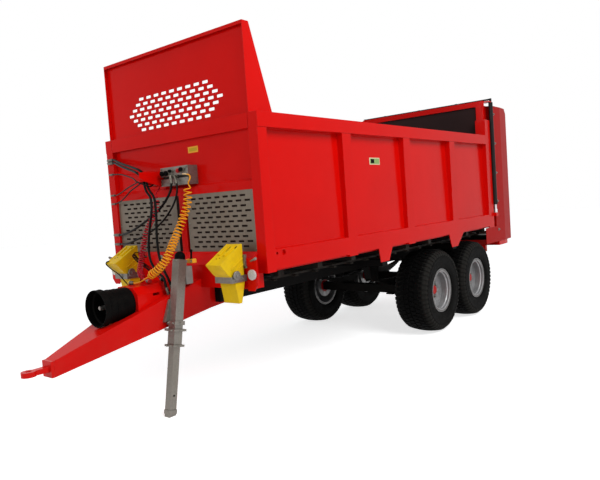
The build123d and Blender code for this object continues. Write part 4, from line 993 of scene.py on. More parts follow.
def read_line(points: Iterable[Sequence[float]], resolution: int = 24) -> list[Vector]:
    """Reads a route's smooth line.

    Args:
        points: The route's control points.
        resolution: Steps between control points.

    Returns:
        Points along the line.
    """
    bare = spline_curve("bare_line", points, 0.0, resolution)
    bpy.context.view_layer.update()
    data = bpy.data.meshes.new_from_object(bare)
    line = [vertex.co.copy() for vertex in data.vertices]
    curve = bare.data
    bpy.data.objects.remove(bare)
    bpy.data.curves.remove(curve)
    bpy.data.meshes.remove(data)
    return line


def stretch_of(line: Sequence[Vector], start: float, end: float) -> list[Vector]:
    """Cuts a stretch out of a line.

    Args:
        line: The line.
        start: Distance along it where the stretch starts.
        end: Distance along it where the stretch ends.

    Returns:
        The points of the stretch.
    """
    travelled, part = 0.0, []
    for before, after in zip(line, line[1:]):
        step = (after - before).length
        for mark in (start, end):
            if travelled <= mark < travelled + step:
                part.append(before.lerp(after, (mark - travelled) / step))
        travelled += step
        if start < travelled < end:
            part.append(after.copy())
    return part


def line_length(line: Sequence[Vector]) -> float:
    """Returns the length of a line."""
    return sum((b - a).length for a, b in zip(line, line[1:]))


@dataclass
class Hose:
    """A plain hose or cable, with crimped sleeves at its ends where they have a length."""

    name: str
    route: Sequence[Point]
    diameter: float
    length: float
    finish: Finish = Finish.HOSE
    slot: str = "black_hose"
    sleeve: float = 0.055
    sleeve_wall: float = 0.0035
    ridge: float = 0.0012
    ridge_width: float = 0.12
    ridge_places: Sequence[float] = (0.2, 0.45, 0.7)
    stiffness: str = "stiff"
    in_frame: bool = True

    def build(self, palette: Palette) -> None:
        """Args:
            palette: Where the materials come from.
        """
        piece = spline_curve(self.name + "_line", self.route, self.diameter / 2)
        piece.data.materials.append(palette.of(self.finish))
        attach(piece, "root")
        if self.in_frame:
            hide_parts(self.name)
        line = read_line(self.route)
        sleeves = [self.sleeves(line, palette)] if self.sleeve else []
        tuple(self.route[0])
        LOG.info("%s: %.3f m along its line", self.name, line_length(line))

    def sleeves(self, line: Sequence[Vector], palette: Palette) -> bpy.types.Object:
        """Makes the crimped sleeves at both ends, with their pressed ridges.

        Args:
            line: The hose's middle line.
            palette: Where the materials come from.

        Returns:
            The sleeves as one piece.
        """
        shaper = Shaper(palette)
        whole = line_length(line)
        outer = self.diameter / 2 + self.sleeve_wall
        for start, end in ((0.001, self.sleeve), (whole - self.sleeve, whole - 0.001)):
            shaper.tube(stretch_of(line, start, end), outer, 16)
            for share in self.ridge_places:
                middle = start + (end - start) * share
                shaper.tube(stretch_of(line, middle, middle + self.sleeve * self.ridge_width),
                            outer + self.ridge, 16)
        return shaper.put(self.name + "_sleeves", "root", Finish.FITTING, smooth=50)


@dataclass
class CoiledCord:
    """A curly hose: a straight lead, a coil that stretches under its weight, and a tail.

    Crowding is how much closer the turns lie at the low end. The run-in is the number of turns
    over which the coil opens and closes, with turns that are longer by the run-in pitch.
    """

    name: str
    lead: Sequence[Point]
    coil: Sequence[Point]
    tail: Sequence[Point]
    diameter: float
    coil_diameter: float
    turns: float
    length: float
    finish: Finish
    slot: str
    crowding: float = 0.3
    points_per_turn: int = 14
    run_in: float = 1.3
    run_in_pitch: float = 2.2
    unevenness: float = 0.035
    drift: float = 0.23
    lead_finish: Finish | None = None
    lead_sleeve: tuple[float, float] = (0.012, 0.135)

    def swell(self, mark: int, marks: int) -> float:
        """Returns how open the coil is at a mark: 0 at its ends, and 1 after the run-in."""
        ends = min(1.0, min(mark, marks - mark) / (self.points_per_turn * self.run_in))
        return ends * ends * (3 - 2 * ends)

    def shares(self, marks: int) -> list[float]:
        """Spreads the marks along the coil, so that turns crowd low down and not at the ends.

        Args:
            marks: How many steps the coil has.

        Returns:
            How far along the coil each mark lies, from 0 to 1.
        """
        k, reached = self.crowding, [0.0]
        for mark in range(marks):
            pitch = 1 / math.sqrt((1 - k) ** 2 + 4 * k * mark / marks)
            reached.append(reached[-1] + pitch * (
                1 + self.run_in_pitch * (1 - self.swell(mark, marks))))
        return [reach / reached[-1] for reach in reached]

    def winding(self, line: Sequence[Vector]) -> list[Vector]:
        """Winds the coil round its line.

        Args:
            line: The coil's middle line.

        Returns:
            The helix's points.
        """
        steps = [after - before for before, after in zip(line, line[1:])]
        total = line_length(line)
        full = (self.coil_diameter - self.diameter) / 2
        marks = int(self.turns * self.points_per_turn)
        points, side, index, travelled = [], Vector((0.9, -0.3, 0.1)), 0, 0.0
        for mark, share in enumerate(self.shares(marks)):
            angle = math.tau * mark / self.points_per_turn
            reach = min(share, 0.99999) * total
            while index < len(steps) - 1 and travelled + steps[index].length < reach:
                travelled += steps[index].length
                index += 1
            step = steps[index]
            spot = line[index] + step * ((reach - travelled) / step.length)
            ahead = step.normalized()
            side = (side - ahead * side.dot(ahead)).normalized()
            uneven = 1 - self.unevenness * (1 + math.sin(angle * self.drift)) / 2
            radius = full * self.swell(mark, marks) * uneven
            point = spot + radius * (side * math.cos(angle) + ahead.cross(side) * math.sin(angle))
            if not points or (point - points[-1]).length > self.diameter / 8:
                points.append(point)
        return points

    def build(self, palette: Palette, end_piece: bpy.types.Object) -> None:
        """Args:
            palette: Where the materials come from.
            end_piece: The coupling on its far end; not used.
        """
        line = read_line([*self.lead, *self.coil[1:], *self.tail[1:]])
        first, last = (min(range(len(line)), key=lambda i: (line[i] - Vector(end)).length)
                       for end in (self.coil[0], self.coil[-1]))
        points = [*self.lead[:-1], *self.winding(line[first:last + 1]), *self.tail[1:]]
        piece = spline_curve(self.name + "_line", points, self.diameter / 2, 5)
        piece.data.bevel_resolution = 3
        piece.data.materials.append(palette.of(self.finish))
        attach(piece, "root")
        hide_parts(self.name)
        if self.lead_finish:
            self.sleeve(line, palette)
        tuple(self.lead[0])
        LOG.info("%s: %.3f m along its line", self.name, line_length(read_line(points, 8)))

    def sleeve(self, line: Sequence[Vector], palette: Palette) -> bpy.types.Object:
        """Makes the pale sleeve over the start of the lead.

        Args:
            line: The cord's middle line.
            palette: Where the materials come from.

        Returns:
            The sleeve.
        """
        shaper = Shaper(palette)
        shaper.tube(stretch_of(line, *self.lead_sleeve), self.diameter / 2 + 0.001, 14)
        return shaper.put(self.name + "_sleeve", "root", self.lead_finish, smooth=60)


HYDRAULIC_HOSES = (
    Hose("hydraulic_hose_1", (
        (-1.119, -2.434, 2.617), (-1.040, -2.434, 2.617), (-0.927, -2.485, 2.590),
        (-0.756, -2.547, 2.546), (-0.538, -2.601, 2.498), (-0.382, -2.643, 2.461),
        (-0.280, -2.668, 2.437), (-0.217, -2.667, 2.404), (-0.186, -2.656, 2.339),
        (-0.179, -2.645, 2.253), (-0.150, -2.642, 2.197), (-0.092, -2.641, 2.146),
        (-0.048, -2.661, 2.061), (-0.015, -2.690, 1.917), (-0.026, -2.701, 1.697),
        (0.007, -2.714, 1.490), (0.104, -2.743, 1.375), (0.193, -2.774, 1.312),
        (0.244, -2.784, 1.250), (0.244, -2.7629, 1.1894)), 0.026, 2.33),
    Hose("hydraulic_hose_2", (
        (-1.119, -2.434, 2.583), (-1.041, -2.434, 2.583), (-0.930, -2.485, 2.559),
        (-0.763, -2.548, 2.516), (-0.552, -2.603, 2.464), (-0.403, -2.640, 2.430),
        (-0.309, -2.673, 2.404), (-0.249, -2.670, 2.372), (-0.220, -2.656, 2.313),
        (-0.214, -2.651, 2.236), (-0.183, -2.655, 2.184), (-0.129, -2.658, 2.143),
        (-0.099, -2.671, 2.079), (-0.076, -2.696, 1.977), (-0.101, -2.713, 1.847),
        (-0.141, -2.724, 1.656), (-0.121, -2.741, 1.501), (-0.042, -2.759, 1.410),
        (0.075, -2.785, 1.345), (0.161, -2.800, 1.317), (0.210, -2.826, 1.284),
        (0.243, -2.844, 1.230), (0.243, -2.8229, 1.1686)), 0.026, 2.40),
    Hose("hydraulic_hose_3", (
        (0.057, -2.519, 2.312), (0.082, -2.532, 2.247), (0.063, -2.542, 2.175),
        (-0.007, -2.549, 2.092), (-0.139, -2.551, 1.993), (-0.341, -2.547, 1.902),
        (-0.552, -2.531, 1.825), (-0.766, -2.504, 1.767), (-0.933, -2.469, 1.747),
        (-1.044, -2.434, 1.737), (-1.119, -2.434, 1.737)), 0.026, 1.45),
    Hose("hydraulic_hose_4", (
        (0.130, -2.517, 2.304), (0.157, -2.526, 2.252), (0.172, -2.541, 2.166),
        (0.128, -2.557, 2.048), (-0.012, -2.561, 1.916), (-0.210, -2.553, 1.803),
        (-0.424, -2.545, 1.727), (-0.645, -2.526, 1.673), (-0.842, -2.496, 1.635),
        (-0.973, -2.462, 1.631), (-1.060, -2.434, 1.627), (-1.119, -2.434, 1.627)),
        0.020, 1.63),
    Hose("light_cable_1", (
        (-1.119, -2.434, 2.450), (-1.076, -2.434, 2.450), (-1.011, -2.454, 2.444),
        (-0.912, -2.479, 2.439), (-0.763, -2.528, 2.421), (-0.577, -2.597, 2.388),
        (-0.412, -2.662, 2.360), (-0.306, -2.709, 2.335), (-0.239, -2.739, 2.311),
        (-0.194, -2.746, 2.293), (-0.158, -2.726, 2.278), (-0.135, -2.683, 2.255),
        (-0.138, -2.647, 2.243), (-0.156, -2.609, 2.250), (-0.174, -2.576, 2.270),
        (-0.174, -2.541, 2.270)), 0.014, 1.24, Finish.CABLE, sleeve=0.03, stiffness="medium"),
    Hose("light_cable_2", (
        (-1.119, -2.434, 2.205), (-1.078, -2.434, 2.205), (-1.017, -2.457, 2.205),
        (-0.927, -2.489, 2.210), (-0.789, -2.532, 2.231), (-0.607, -2.570, 2.273),
        (-0.468, -2.613, 2.288), (-0.377, -2.639, 2.300), (-0.316, -2.653, 2.312),
        (-0.274, -2.653, 2.312)), 0.014, 0.89, Finish.CABLE, sleeve=0.03, stiffness="medium"),
    Hose("light_cable_3", (
        (-1.119, -2.434, 2.105), (-1.077, -2.434, 2.105), (-1.016, -2.455, 2.114),
        (-0.923, -2.479, 2.125), (-0.785, -2.515, 2.160), (-0.610, -2.557, 2.228),
        (-0.469, -2.582, 2.261), (-0.376, -2.595, 2.287), (-0.316, -2.607, 2.306),
        (-0.274, -2.607, 2.306)), 0.014, 0.89, Finish.CABLE, sleeve=0.03, stiffness="medium"),
)

CHOCK_STRAP = Hose("chock_strap", (
    (-0.806, -2.779, 1.467), (-0.803, -2.798, 1.470), (-0.799, -2.818, 1.461),
    (-0.793, -2.828, 1.441), (-0.780, -2.800, 1.404), (-0.756, -2.762, 1.360),
    (-0.728, -2.724, 1.322), (-0.704, -2.706, 1.285), (-0.686, -2.692, 1.246),
    (-0.665, -2.650, 1.185), (-0.645, -2.628, 1.120), (-0.635, -2.612, 1.076),
    (-0.632, -2.608, 1.066)), 0.012, 0.53, Finish.CABLE, sleeve=0.0, stiffness="limp",
    in_frame=False)

COILED_CORDS = (
    CoiledCord(
        "air_coil_yellow",
        ((0.262, -2.500, 2.344), (0.262, -2.522, 2.344), (0.277, -2.540, 2.343),
         (0.295, -2.551, 2.342), (0.316, -2.556, 2.340), (0.345, -2.557, 2.337),
         (0.377, -2.558, 2.330), (0.399, -2.561, 2.323), (0.418, -2.569, 2.313),
         (0.4321, -2.5769, 2.3013)),
        ((0.4321, -2.5769, 2.3013), (0.439, -2.593, 2.267), (0.424, -2.603, 2.225),
         (0.412, -2.610, 2.176), (0.418, -2.613, 2.108), (0.407, -2.627, 2.012),
         (0.373, -2.653, 1.913), (0.357, -2.697, 1.815), (0.357, -2.755, 1.724),
         (0.371, -2.821, 1.640), (0.381, -2.877, 1.564), (0.356, -2.915, 1.492),
         (0.290, -2.951, 1.418), (0.203, -2.975, 1.367), (0.1375, -2.9868, 1.3362)),
        ((0.1375, -2.9868, 1.3362), (0.100, -2.994, 1.318), (0.056, -3.001, 1.297),
         (0.023, -3.005, 1.287), (-0.014, -3.012, 1.284), (-0.050, -3.012, 1.284)),
        0.012, 0.090, 31, 7.6, Finish.YELLOW_HOSE, "yellow_hose", 0.32,
        lead_finish=Finish.IVORY_HOSE),
    CoiledCord(
        "air_coil_red",
        ((-0.205, -2.467, 2.272), (-0.205, -2.467, 2.252), (-0.204, -2.472, 2.230),
         (-0.200, -2.485, 2.213), (-0.193, -2.502, 2.203), (-0.182, -2.520, 2.196),
         (-0.1702, -2.5371, 2.1885)),
        ((-0.1702, -2.5371, 2.1885), (-0.148, -2.563, 2.165), (-0.132, -2.580, 2.127),
         (-0.117, -2.596, 2.065), (-0.106, -2.614, 2.013), (-0.111, -2.627, 1.974),
         (-0.138, -2.635, 1.928), (-0.191, -2.641, 1.865), (-0.258, -2.647, 1.779),
         (-0.293, -2.661, 1.679), (-0.295, -2.687, 1.573), (-0.285, -2.724, 1.471),
         (-0.270, -2.759, 1.400), (-0.238, -2.789, 1.355), (-0.174, -2.814, 1.317),
         (-0.118, -2.8312, 1.300)),
        ((-0.118, -2.8312, 1.300), (-0.099, -2.842, 1.298), (-0.080, -2.855, 1.296),
         (-0.062, -2.865, 1.293), (-0.042, -2.873, 1.284), (-0.020, -2.873, 1.284)),
        0.012, 0.068, 34, 5.9, Finish.RED_HOSE, "red_hose", 0.2),
    CoiledCord(
        "cable_coil_black",
        ((-0.575, -2.4596, 1.4894), (-0.575, -2.473, 1.499), (-0.583, -2.493, 1.513),
         (-0.590, -2.520, 1.530), (-0.593, -2.543, 1.540), (-0.592, -2.560, 1.544),
         (-0.589, -2.576, 1.544), (-0.5836, -2.5909, 1.5408)),
        ((-0.5836, -2.5909, 1.5408), (-0.562, -2.620, 1.527), (-0.521, -2.642, 1.507),
         (-0.455, -2.657, 1.474), (-0.362, -2.669, 1.436), (-0.266, -2.686, 1.406),
         (-0.176, -2.694, 1.370), (-0.1138, -2.7004, 1.3429)),
        ((-0.1138, -2.7004, 1.3429), (-0.087, -2.704, 1.331), (-0.048, -2.709, 1.311),
         (-0.017, -2.716, 1.295), (0.003, -2.727, 1.284), (0.020, -2.727, 1.284)),
        0.009, 0.046, 18, 2.3, Finish.CABLE, "black_hose", 0.0),
)


@dataclass
class CouplingHead:
    """An air or lamp coupling that lies on the driveline housing at a coiled cord's end."""

    name: str
    start: Point
    end: Point
    radius: float = 0.0215
    cap: Finish = Finish.YELLOW

    def build(self, palette: Palette) -> bpy.types.Object:
        """Makes the head with its collar, grip and cap.

        Args:
            palette: Where the materials come from.

        Returns:
            The head, which stands for the plain one.
        """
        start, end = Vector(self.start), Vector(self.end)
        along = end - start
        place, reach, full = frame_along(along, start), along.length, self.radius
        head = Shaper(palette)
        head.lathe(((0.008, 0.0), (full * 0.55, 0.001), (full * 0.6, 0.010), (full * 0.9, 0.012),
                    (full * 0.9, 0.024), (full * 0.72, 0.026), (full * 0.72, reach * 0.55),
                    (full, reach * 0.57), (full, reach * 0.72)), place, 28)
        head.lathe(((full * 0.86, 0.013), (full * 0.86, 0.023)), place, 6)
        piece = head.put(self.name, "root", Finish.FITTING, 0.0006, slot="coupling_metal")
        cap = Shaper(palette)
        cap.lathe(((full * 0.95, reach * 0.725), (full, reach * 0.74), (full, reach * 0.94),
                   (full * 0.8, reach)), place, 28)
        cap.put(self.name + "_cap", "root", self.cap, 0.0006)
        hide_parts("couplings")
        return piece


COUPLING_HEADS = (
    CouplingHead("coupling_yellow", (-0.0503, -3.0121, 1.284), (-0.118, -3.019, 1.284)),
    CouplingHead("coupling_red", (-0.0197, -2.8730, 1.284), (0.050, -2.883, 1.284),
                 cap=Finish.RED_CAP),
    CouplingHead("coupling_black", (0.0203, -2.7271, 1.284), (0.088, -2.747, 1.284),
                 cap=Finish.BELL),
)


@dataclass
class Trim:
    """Pieces of one sub-assembly, made with the finishes of one palette."""

    palette: Palette

    def shaper(self) -> Shaper:
        """Returns an empty mesh."""
        return Shaper(self.palette)


# ---- wheels ------------------------------------------------------------------------------------
@dataclass(frozen=True)
class TreadBlock:
    """One block of the tread: radius and place of its face and foot, and where it lies.

    Start and width are shares of a pitch, and skew is its turn in radians for each metre across.
    """

    face: Profile
    foot: Profile
    start: float
    width: float
    skew: float = 0.0


@dataclass
class TreadedTyre(Trim):
    """A wide flotation tyre: carcass, centre blocks and shoulder lugs."""

    radius: float = 0.585
    shoulder_x: float = 0.2
    shoulder_drop: float = 0.022
    seat_radius: float = 0.2865
    tread_depth: float = 0.015
    pitches: int = 52
    segments: int = 104

    def crown(self, x: float) -> float:
        """Returns the tread's radius at a distance from the middle plane."""
        across = min(abs(x), self.shoulder_x)
        return self.radius - self.shoulder_drop * (across / self.shoulder_x) ** 2

    def carcass(self) -> list[tuple[float, float]]:
        """Lists one half of the carcass.

        Returns:
            Radius and place of each point, from the bead outwards.
        """
        depth = self.tread_depth
        return [
            (self.seat_radius, 0.205), (0.306, 0.208), (0.316, 0.226), (0.322, 0.234),
            (0.332, 0.238), (0.338, 0.235), (0.352, 0.241), (0.40, 0.2465), (0.4357, 0.2475),
            (0.470, 0.247), (0.478, 0.249), (0.486, 0.2455), (0.505, 0.238), (0.530, 0.222),
            (0.548, 0.200), (self.crown(0.15) - depth, 0.150), (self.crown(0.11) - depth, 0.110),
            (self.radius - depth, 0.03)]

    def blocks(self) -> tuple[TreadBlock, ...]:
        """Lists the blocks of one pitch.

        Returns:
            The shoulder lug and the two centre blocks.
        """
        crown = self.crown
        return (
            TreadBlock(((crown(0.15), 0.152), (crown(0.2), 0.198), (0.530, 0.2395),
                        (0.490, 0.2495)),
                       ((0.545, 0.152), (0.535, 0.190), (0.510, 0.220), (0.484, 0.236)),
                       0.0, 0.58),
            TreadBlock(((crown(0.012), 0.012), (crown(0.070), 0.070)),
                       ((0.556, 0.012), (0.552, 0.070)), 0.1, 0.72, 0.35),
            TreadBlock(((crown(0.080), 0.080), (crown(0.142), 0.142)),
                       ((0.556, 0.080), (0.552, 0.142)), 0.35, 0.72, 0.35))

    def lug(self, shaper: Shaper, block: TreadBlock, side: int, start: float) -> None:
        """Adds one block of the tread.

        Args:
            shaper: The tyre's mesh.
            block: The block.
            side: 1 or -1 for the tyre's half.
            start: The angle where its pitch starts.
        """
        pitch = math.tau / self.pitches
        first = start + pitch * block.start
        loops = []
        for angle in (first, first + pitch * block.width):
            loops.append([shaper.mesh.verts.new((
                side * x, radius * math.cos(angle + block.skew * x),
                radius * math.sin(angle + block.skew * x)))
                for radius, x in (*block.face, *reversed(block.foot))])
        low, high = loops
        shaper.mesh.faces.new(low)
        shaper.mesh.faces.new(list(reversed(high)))
        shaper.wall(low, high)

    def pattern(self) -> bpy.types.Object:
        """Makes the tyre round the origin, with its axle along X.

        Returns:
            A tyre that serves as a pattern for the four wheels.
        """
        shaper = self.shaper()
        half = self.carcass()
        whole = half + [(radius, -x) for radius, x in reversed(half)]
        shaper.ring(whole, Z_TO_X, self.segments)
        pitch = math.tau / self.pitches
        for side, shift in ((1, 0.0), (-1, pitch / 2)):
            for number in range(self.pitches):
                for block in self.blocks():
                    self.lug(shaper, block, side, number * pitch + shift)
        return shaper.put("tyre_pattern", "root", Finish.TYRE, smooth=32, slot="tyre_rubber")

    def build(self) -> None:
        """Places a tyre on each of the four wheels."""
        pattern = self.pattern()
        for axle in ("front", "rear"):
            for side, angle in (("left", 0.0), ("right", math.pi)):
                name = f"tyre_{axle}_{side}"
                low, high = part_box(name)
                piece = place_object(name + "_tread", pattern.data)
                turn = Matrix.Rotation(angle, 4, "Z")
                piece.matrix_world = Matrix.Translation((low + high) / 2) @ turn
                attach(piece, f"wheel_{axle}_{side}_body")
                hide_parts(name)
                LOG.info("%s: %d faces", name, len(piece.data.polygons))
        bpy.data.objects.remove(pattern)


@dataclass
class WheelTrim(Trim):
    """Paint, inner barrel, nuts, studs and the valve of each wheel.

    Steps is the barrel's profile: radius and depth behind the rim's outer edge.
    """

    rim_half: float = 0.22
    disc_inset: float = 0.178
    steps: Profile = (
        (0.2755, -0.004), (0.2690, -0.009), (0.2690, -0.040), (0.2590, -0.050),
        (0.2590, -0.088), (0.2660, -0.096), (0.2660, -0.122), (0.2755, -0.128))
    nuts: int = 10
    nut_circle: float = 0.139
    nut_size: float = 0.0155
    valve_circle: float = 0.235
    valve_base: float = 0.012
    valve_lean: float = -0.25
    valve: Profile = (
        (0.010, 0.0), (0.009, 0.004), (0.0055, 0.006), (0.0055, 0.036), (0.0065, 0.038),
        (0.0065, 0.050), (0.005, 0.052))

    def build(self, nodes: dict[str, bpy.types.Object]) -> None:
        """Adds the trim to the four wheels and paints them.

        Args:
            nodes: The frame's nodes by name.
        """
        for axle in ("front", "rear"):
            for side, sign in (("left", 1), ("right", -1)):
                name = f"wheel_{axle}_{side}"
                low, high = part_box(f"tyre_{axle}_{side}")
                centre, out = (low + high) / 2, Vector((sign, 0.0, 0.0))
                rim = centre + out * self.rim_half
                paint = WheelPaint(f"wheel_paint_{axle}", (0.0, centre.y, centre.z))
                coat_all(nodes[name], self.palette.of(paint))
                drum = self.shaper()
                drum.ring(self.steps, frame_along(out, rim), 96)
                drum.put(name + "_drum", name + "_body", paint, slot="rim_silver")
                self.fasten(name, rim - out * self.disc_inset, out)

    def fasten(self, name: str, middle: Vector, out: Vector) -> None:
        """Adds the nuts and the valve of one wheel.

        Args:
            name: The wheel's name.
            middle: The disc's centre on its outer face.
            out: Which way is outwards.
        """
        shaper, size = self.shaper(), self.nut_size
        for number in range(self.nuts):
            angle = math.tau * (number + 0.5) / self.nuts
            offset = Vector((0.0, math.cos(angle), math.sin(angle))) * self.nut_circle
            place = frame_along(out, middle + offset)
            shaper.lathe(((size * 1.35, -0.001), (size * 1.35, 0.003), (size * 1.1, 0.006)),
                         place, 20)
            shaper.lathe(((size, 0.004), (size, 0.021), (size * 0.85, 0.024)), place, 6)
            shaper.lathe(((size * 0.6, 0.02), (size * 0.6, 0.034), (size * 0.5, 0.036)), place, 14)
        shaper.put(name + "_nuts", name + "_body", Finish.ZINC, slot="galvanised")
        valve = self.shaper()
        foot = middle + Vector((out.x * self.valve_base, 0.0, self.valve_circle))
        lean = Vector((out.x, 0.0, self.valve_lean)).normalized()
        valve.lathe(self.valve, frame_along(lean, foot), 16)
        valve.put(name + "_valve", name + "_body", Finish.BELL, slot="black_plastic")
        LOG.info("%s: %d nuts", name, self.nuts)


# ---- front of the machine ----------------------------------------------------------------------
@dataclass
class ChockTrim(Trim):
    """Ribs of the chocks, black strips of painted shade in their slots, the ends of their straps
    and the small locks beside them.

    Ribs and slots on the top face are given by their place across it and their start and end
    along it, and flank ribs by their depth below it and their length. Top rib, flank rib and
    slot are the width and height of each. The locks are given for the left side.
    """

    chocks: Sequence[tuple[str, float]] = (("left", 0.820), ("right", -0.820))
    head: tuple[float, float] = (-2.519, 1.618)
    brow: tuple[float, float] = (-2.817, 1.445)
    width: float = 0.200
    top_ribs: Sequence[Point] = ((0.052, 0.05, 0.19), (0.130, 0.03, 0.20))
    top_rib: tuple[float, float] = (0.030, 0.018)
    edge_inset: float = 0.008
    edge_middle: float = 0.172
    edge_rib: Point = (0.014, 0.335, 0.008)
    flank_ribs: Sequence[tuple[float, float]] = ((0.115, 0.20), (0.165, 0.15))
    flank_middle: float = 0.16
    flank_rib: tuple[float, float] = (0.010, 0.016)
    slots: Sequence[Point] = ((0.092, 0.045, 0.125), (0.166, 0.040, 0.075),
                              (0.092, 0.225, 0.232), (0.060, 0.238, 0.245))
    slot: tuple[float, float] = (0.014, 0.003)
    strap_z: float = 1.292
    roll_y: float = -2.642
    roll_rise: float = 0.038
    roll: Profile = ((0.040, -0.001), (0.045, 0.004), (0.045, 0.018), (0.041, 0.022),
                     (0.018, 0.022), (0.018, 0.030), (0.012, 0.032))
    strap_bolts: Sequence[float] = (-2.560, -2.675)
    lock_plate: Point = (1.036, -2.512, 1.452)
    lock_plate_size: Point = (0.024, 0.028, 0.128)
    lock_lug: Point = (1.044, -2.520, 1.395)
    lock_lug_size: Point = (0.040, 0.012, 0.020)
    lock_bolt: Point = (1.112, -2.521, 1.452)
    lock_lean: Point = (0.944, 0.0, 0.33)
    lock_shank: Profile = ((0.004, 0.0), (0.009, 0.010), (0.009, 0.062))
    lock_nut: Profile = ((0.015, 0.058), (0.015, 0.082), (0.012, 0.086))

    def build(self) -> None:
        """Adds the trim of both chocks."""
        for side, x in self.chocks:
            self.ribs(side, x)
            self.strap_end(side, x + self.width + 0.014)
        self.locks()
        LOG.info("chock trim: %d chocks", len(self.chocks))

    def slope(self) -> tuple[Vector, Vector]:
        """Returns the directions along and out of the chock's top face."""
        along = Vector((0.0, self.brow[0] - self.head[0], self.brow[1] - self.head[1])).normalized()
        return along, Vector((0.0, along.z, -along.y))

    def ribs(self, side: str, x: float) -> None:
        """Adds the raised ribs of one chock, and black strips in its slots as painted shade.

        Args:
            side: The chock's name.
            x: Its right edge.
        """
        along, out = self.slope()
        turn = Matrix((LEFT, along, out)).transposed()
        top = Vector((x, *self.head))
        ribs = self.shaper()
        for across, start, end in self.top_ribs:
            middle = top + LEFT * across + along * (start + end) / 2 + out * 0.006
            ribs.block(middle, (self.top_rib[0], end - start, self.top_rib[1]), turn)
        for across in (self.edge_inset, self.width - self.edge_inset):
            middle = top + LEFT * across + along * self.edge_middle + out * 0.002
            ribs.block(middle, self.edge_rib, turn)
        for drop, reach in self.flank_ribs:
            middle = top + along * self.flank_middle - out * drop + LEFT * (self.width + 0.001)
            ribs.block(middle, (self.flank_rib[0], reach, self.flank_rib[1]), turn)
        ribs.put(f"chock_ribs_{side}", "root", Finish.YELLOW, 0.003, slot="yellow_plastic")
        # Thin black strips where the slots are: painted shade for their recesses.
        slots = self.shaper()
        for across, start, end in self.slots:
            middle = top + LEFT * across + along * (start + end) / 2
            slots.block(middle, (self.slot[0], end - start, self.slot[1]), turn)
        slots.put(f"chock_slot_shade_{side}", "root", Finish.BELL, slot="black_plastic")

    def strap_end(self, side: str, x: float) -> None:
        """Adds the rolled end of one strap and its bolts.

        Args:
            side: The chock's name.
            x: The strap's outer face.
        """
        roll = self.shaper()
        middle = Vector((x, self.roll_y, self.strap_z + self.roll_rise))
        roll.lathe(self.roll, frame_along(LEFT, middle), 36)
        for y in self.strap_bolts:
            roll.bolt(Vector((x, y, self.strap_z)), LEFT)
        roll.put(f"strap_end_{side}", "root", Finish.ZINC, 0.001, slot="galvanised")

    def locks(self) -> None:
        """Adds the bracket and the locking bolt on each corner plate."""
        parts = self.shaper()
        for sign in (1, -1):
            parts.block(on_side(self.lock_plate, sign), self.lock_plate_size)
            parts.block(on_side(self.lock_lug, sign), self.lock_lug_size)
            place = frame_along(on_side(self.lock_lean, sign), on_side(self.lock_bolt, sign))
            parts.lathe(self.lock_shank, place, 16)
            parts.lathe(self.lock_nut, place, 6)
        parts.put("corner_locks", "root", Finish.ZINC, 0.0015, slot="galvanised")


@dataclass
class BodyTrim(Trim):
    """Blank plates, screws and bolts on the load body and the beater unit.

    The label is given by its x and z, and the plate by its y and z, both with width and height.
    """

    label: tuple[float, float] = (0.250, 2.597)
    label_size: tuple[float, float] = (0.155, 0.064)
    wall_y: float = -2.352
    plate: tuple[float, float] = (-0.264, 2.404)
    plate_size: tuple[float, float] = (0.234, 0.084)
    sheet_x: float = 1.1535
    screen_columns: tuple[float, float] = (-0.074, 0.141)
    screen_edge: float = 0.022
    screen_rows: Sequence[float] = (0.04, 0.5, 0.96)
    screw: Profile = ((0.010, -0.001), (0.010, 0.002), (0.007, 0.005), (0.002, 0.006))
    shield_bolts: Sequence[float] = (1.266, 1.752, 2.233, 2.729, 3.220)
    shield_x: float = 1.225
    shield_y: float = 3.520

    def build(self) -> None:
        """Adds the whole trim."""
        self.plates()
        self.screen_screws()
        self.shield_rows()

    def plates(self) -> None:
        """Adds the blank label on the front wall and the blank plate on the side sheet."""
        x, z = self.label
        width, height = self.label_size
        y, level = self.plate
        length, rise = self.plate_size
        layers = (
            ("front_label", (x, self.wall_y, z), (width, 0.003, height), Finish.LABEL, 0.0012),
            ("front_label_field", (x, self.wall_y - 0.001, z),
             (width - 0.036, 0.003, height - 0.030), Finish.LABEL_FIELD, 0.001),
            ("side_plate_rim", (self.sheet_x, y, level), (0.006, length, rise),
             Finish.PLATE_RIM, 0.002),
            ("side_plate_face", (self.sheet_x + 0.002, y, level),
             (0.005, length - 0.022, rise - 0.020), Finish.PLATE, 0.001),
            ("side_plate_panel", (self.sheet_x + 0.0027, y - length * 0.22, level),
             (0.005, length * 0.34, rise - 0.034), Finish.BELL, 0.001))
        for name, centre, size, finish, bevel in layers:
            slab = self.shaper()
            slab.block(centre, size)
            slab.put(name, "root", finish, bevel)
        LOG.info("blank plates: %d layers", len(layers))

    def screen_screws(self) -> None:
        """Adds round-headed screws round the two screens."""
        low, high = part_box("screens")
        screws = self.shaper()
        columns = (low.x + self.screen_edge, *self.screen_columns, high.x - self.screen_edge)
        for x in columns:
            for share in self.screen_rows:
                spot = Vector((x, low.y, low.z + (high.z - low.z) * share))
                screws.lathe(self.screw, frame_along(FORWARD, spot), 18)
        screws.put("screen_screws", "root", Finish.ZINC, slot="galvanised")
        LOG.info("screen screws: %d", len(columns) * len(self.screen_rows))

    def shield_rows(self) -> None:
        """Adds the bolt rows of both shields."""
        bolts = self.shaper()
        for sign in (1, -1):
            for z in self.shield_bolts:
                bolts.bolt(on_side((self.shield_x, self.shield_y, z), sign),
                           on_side(LEFT, sign), 0.016)
        bolts.put("shield_bolts", "root", Finish.ZINC, slot="galvanised")
        LOG.info("shield bolts: %d", 2 * len(self.shield_bolts))


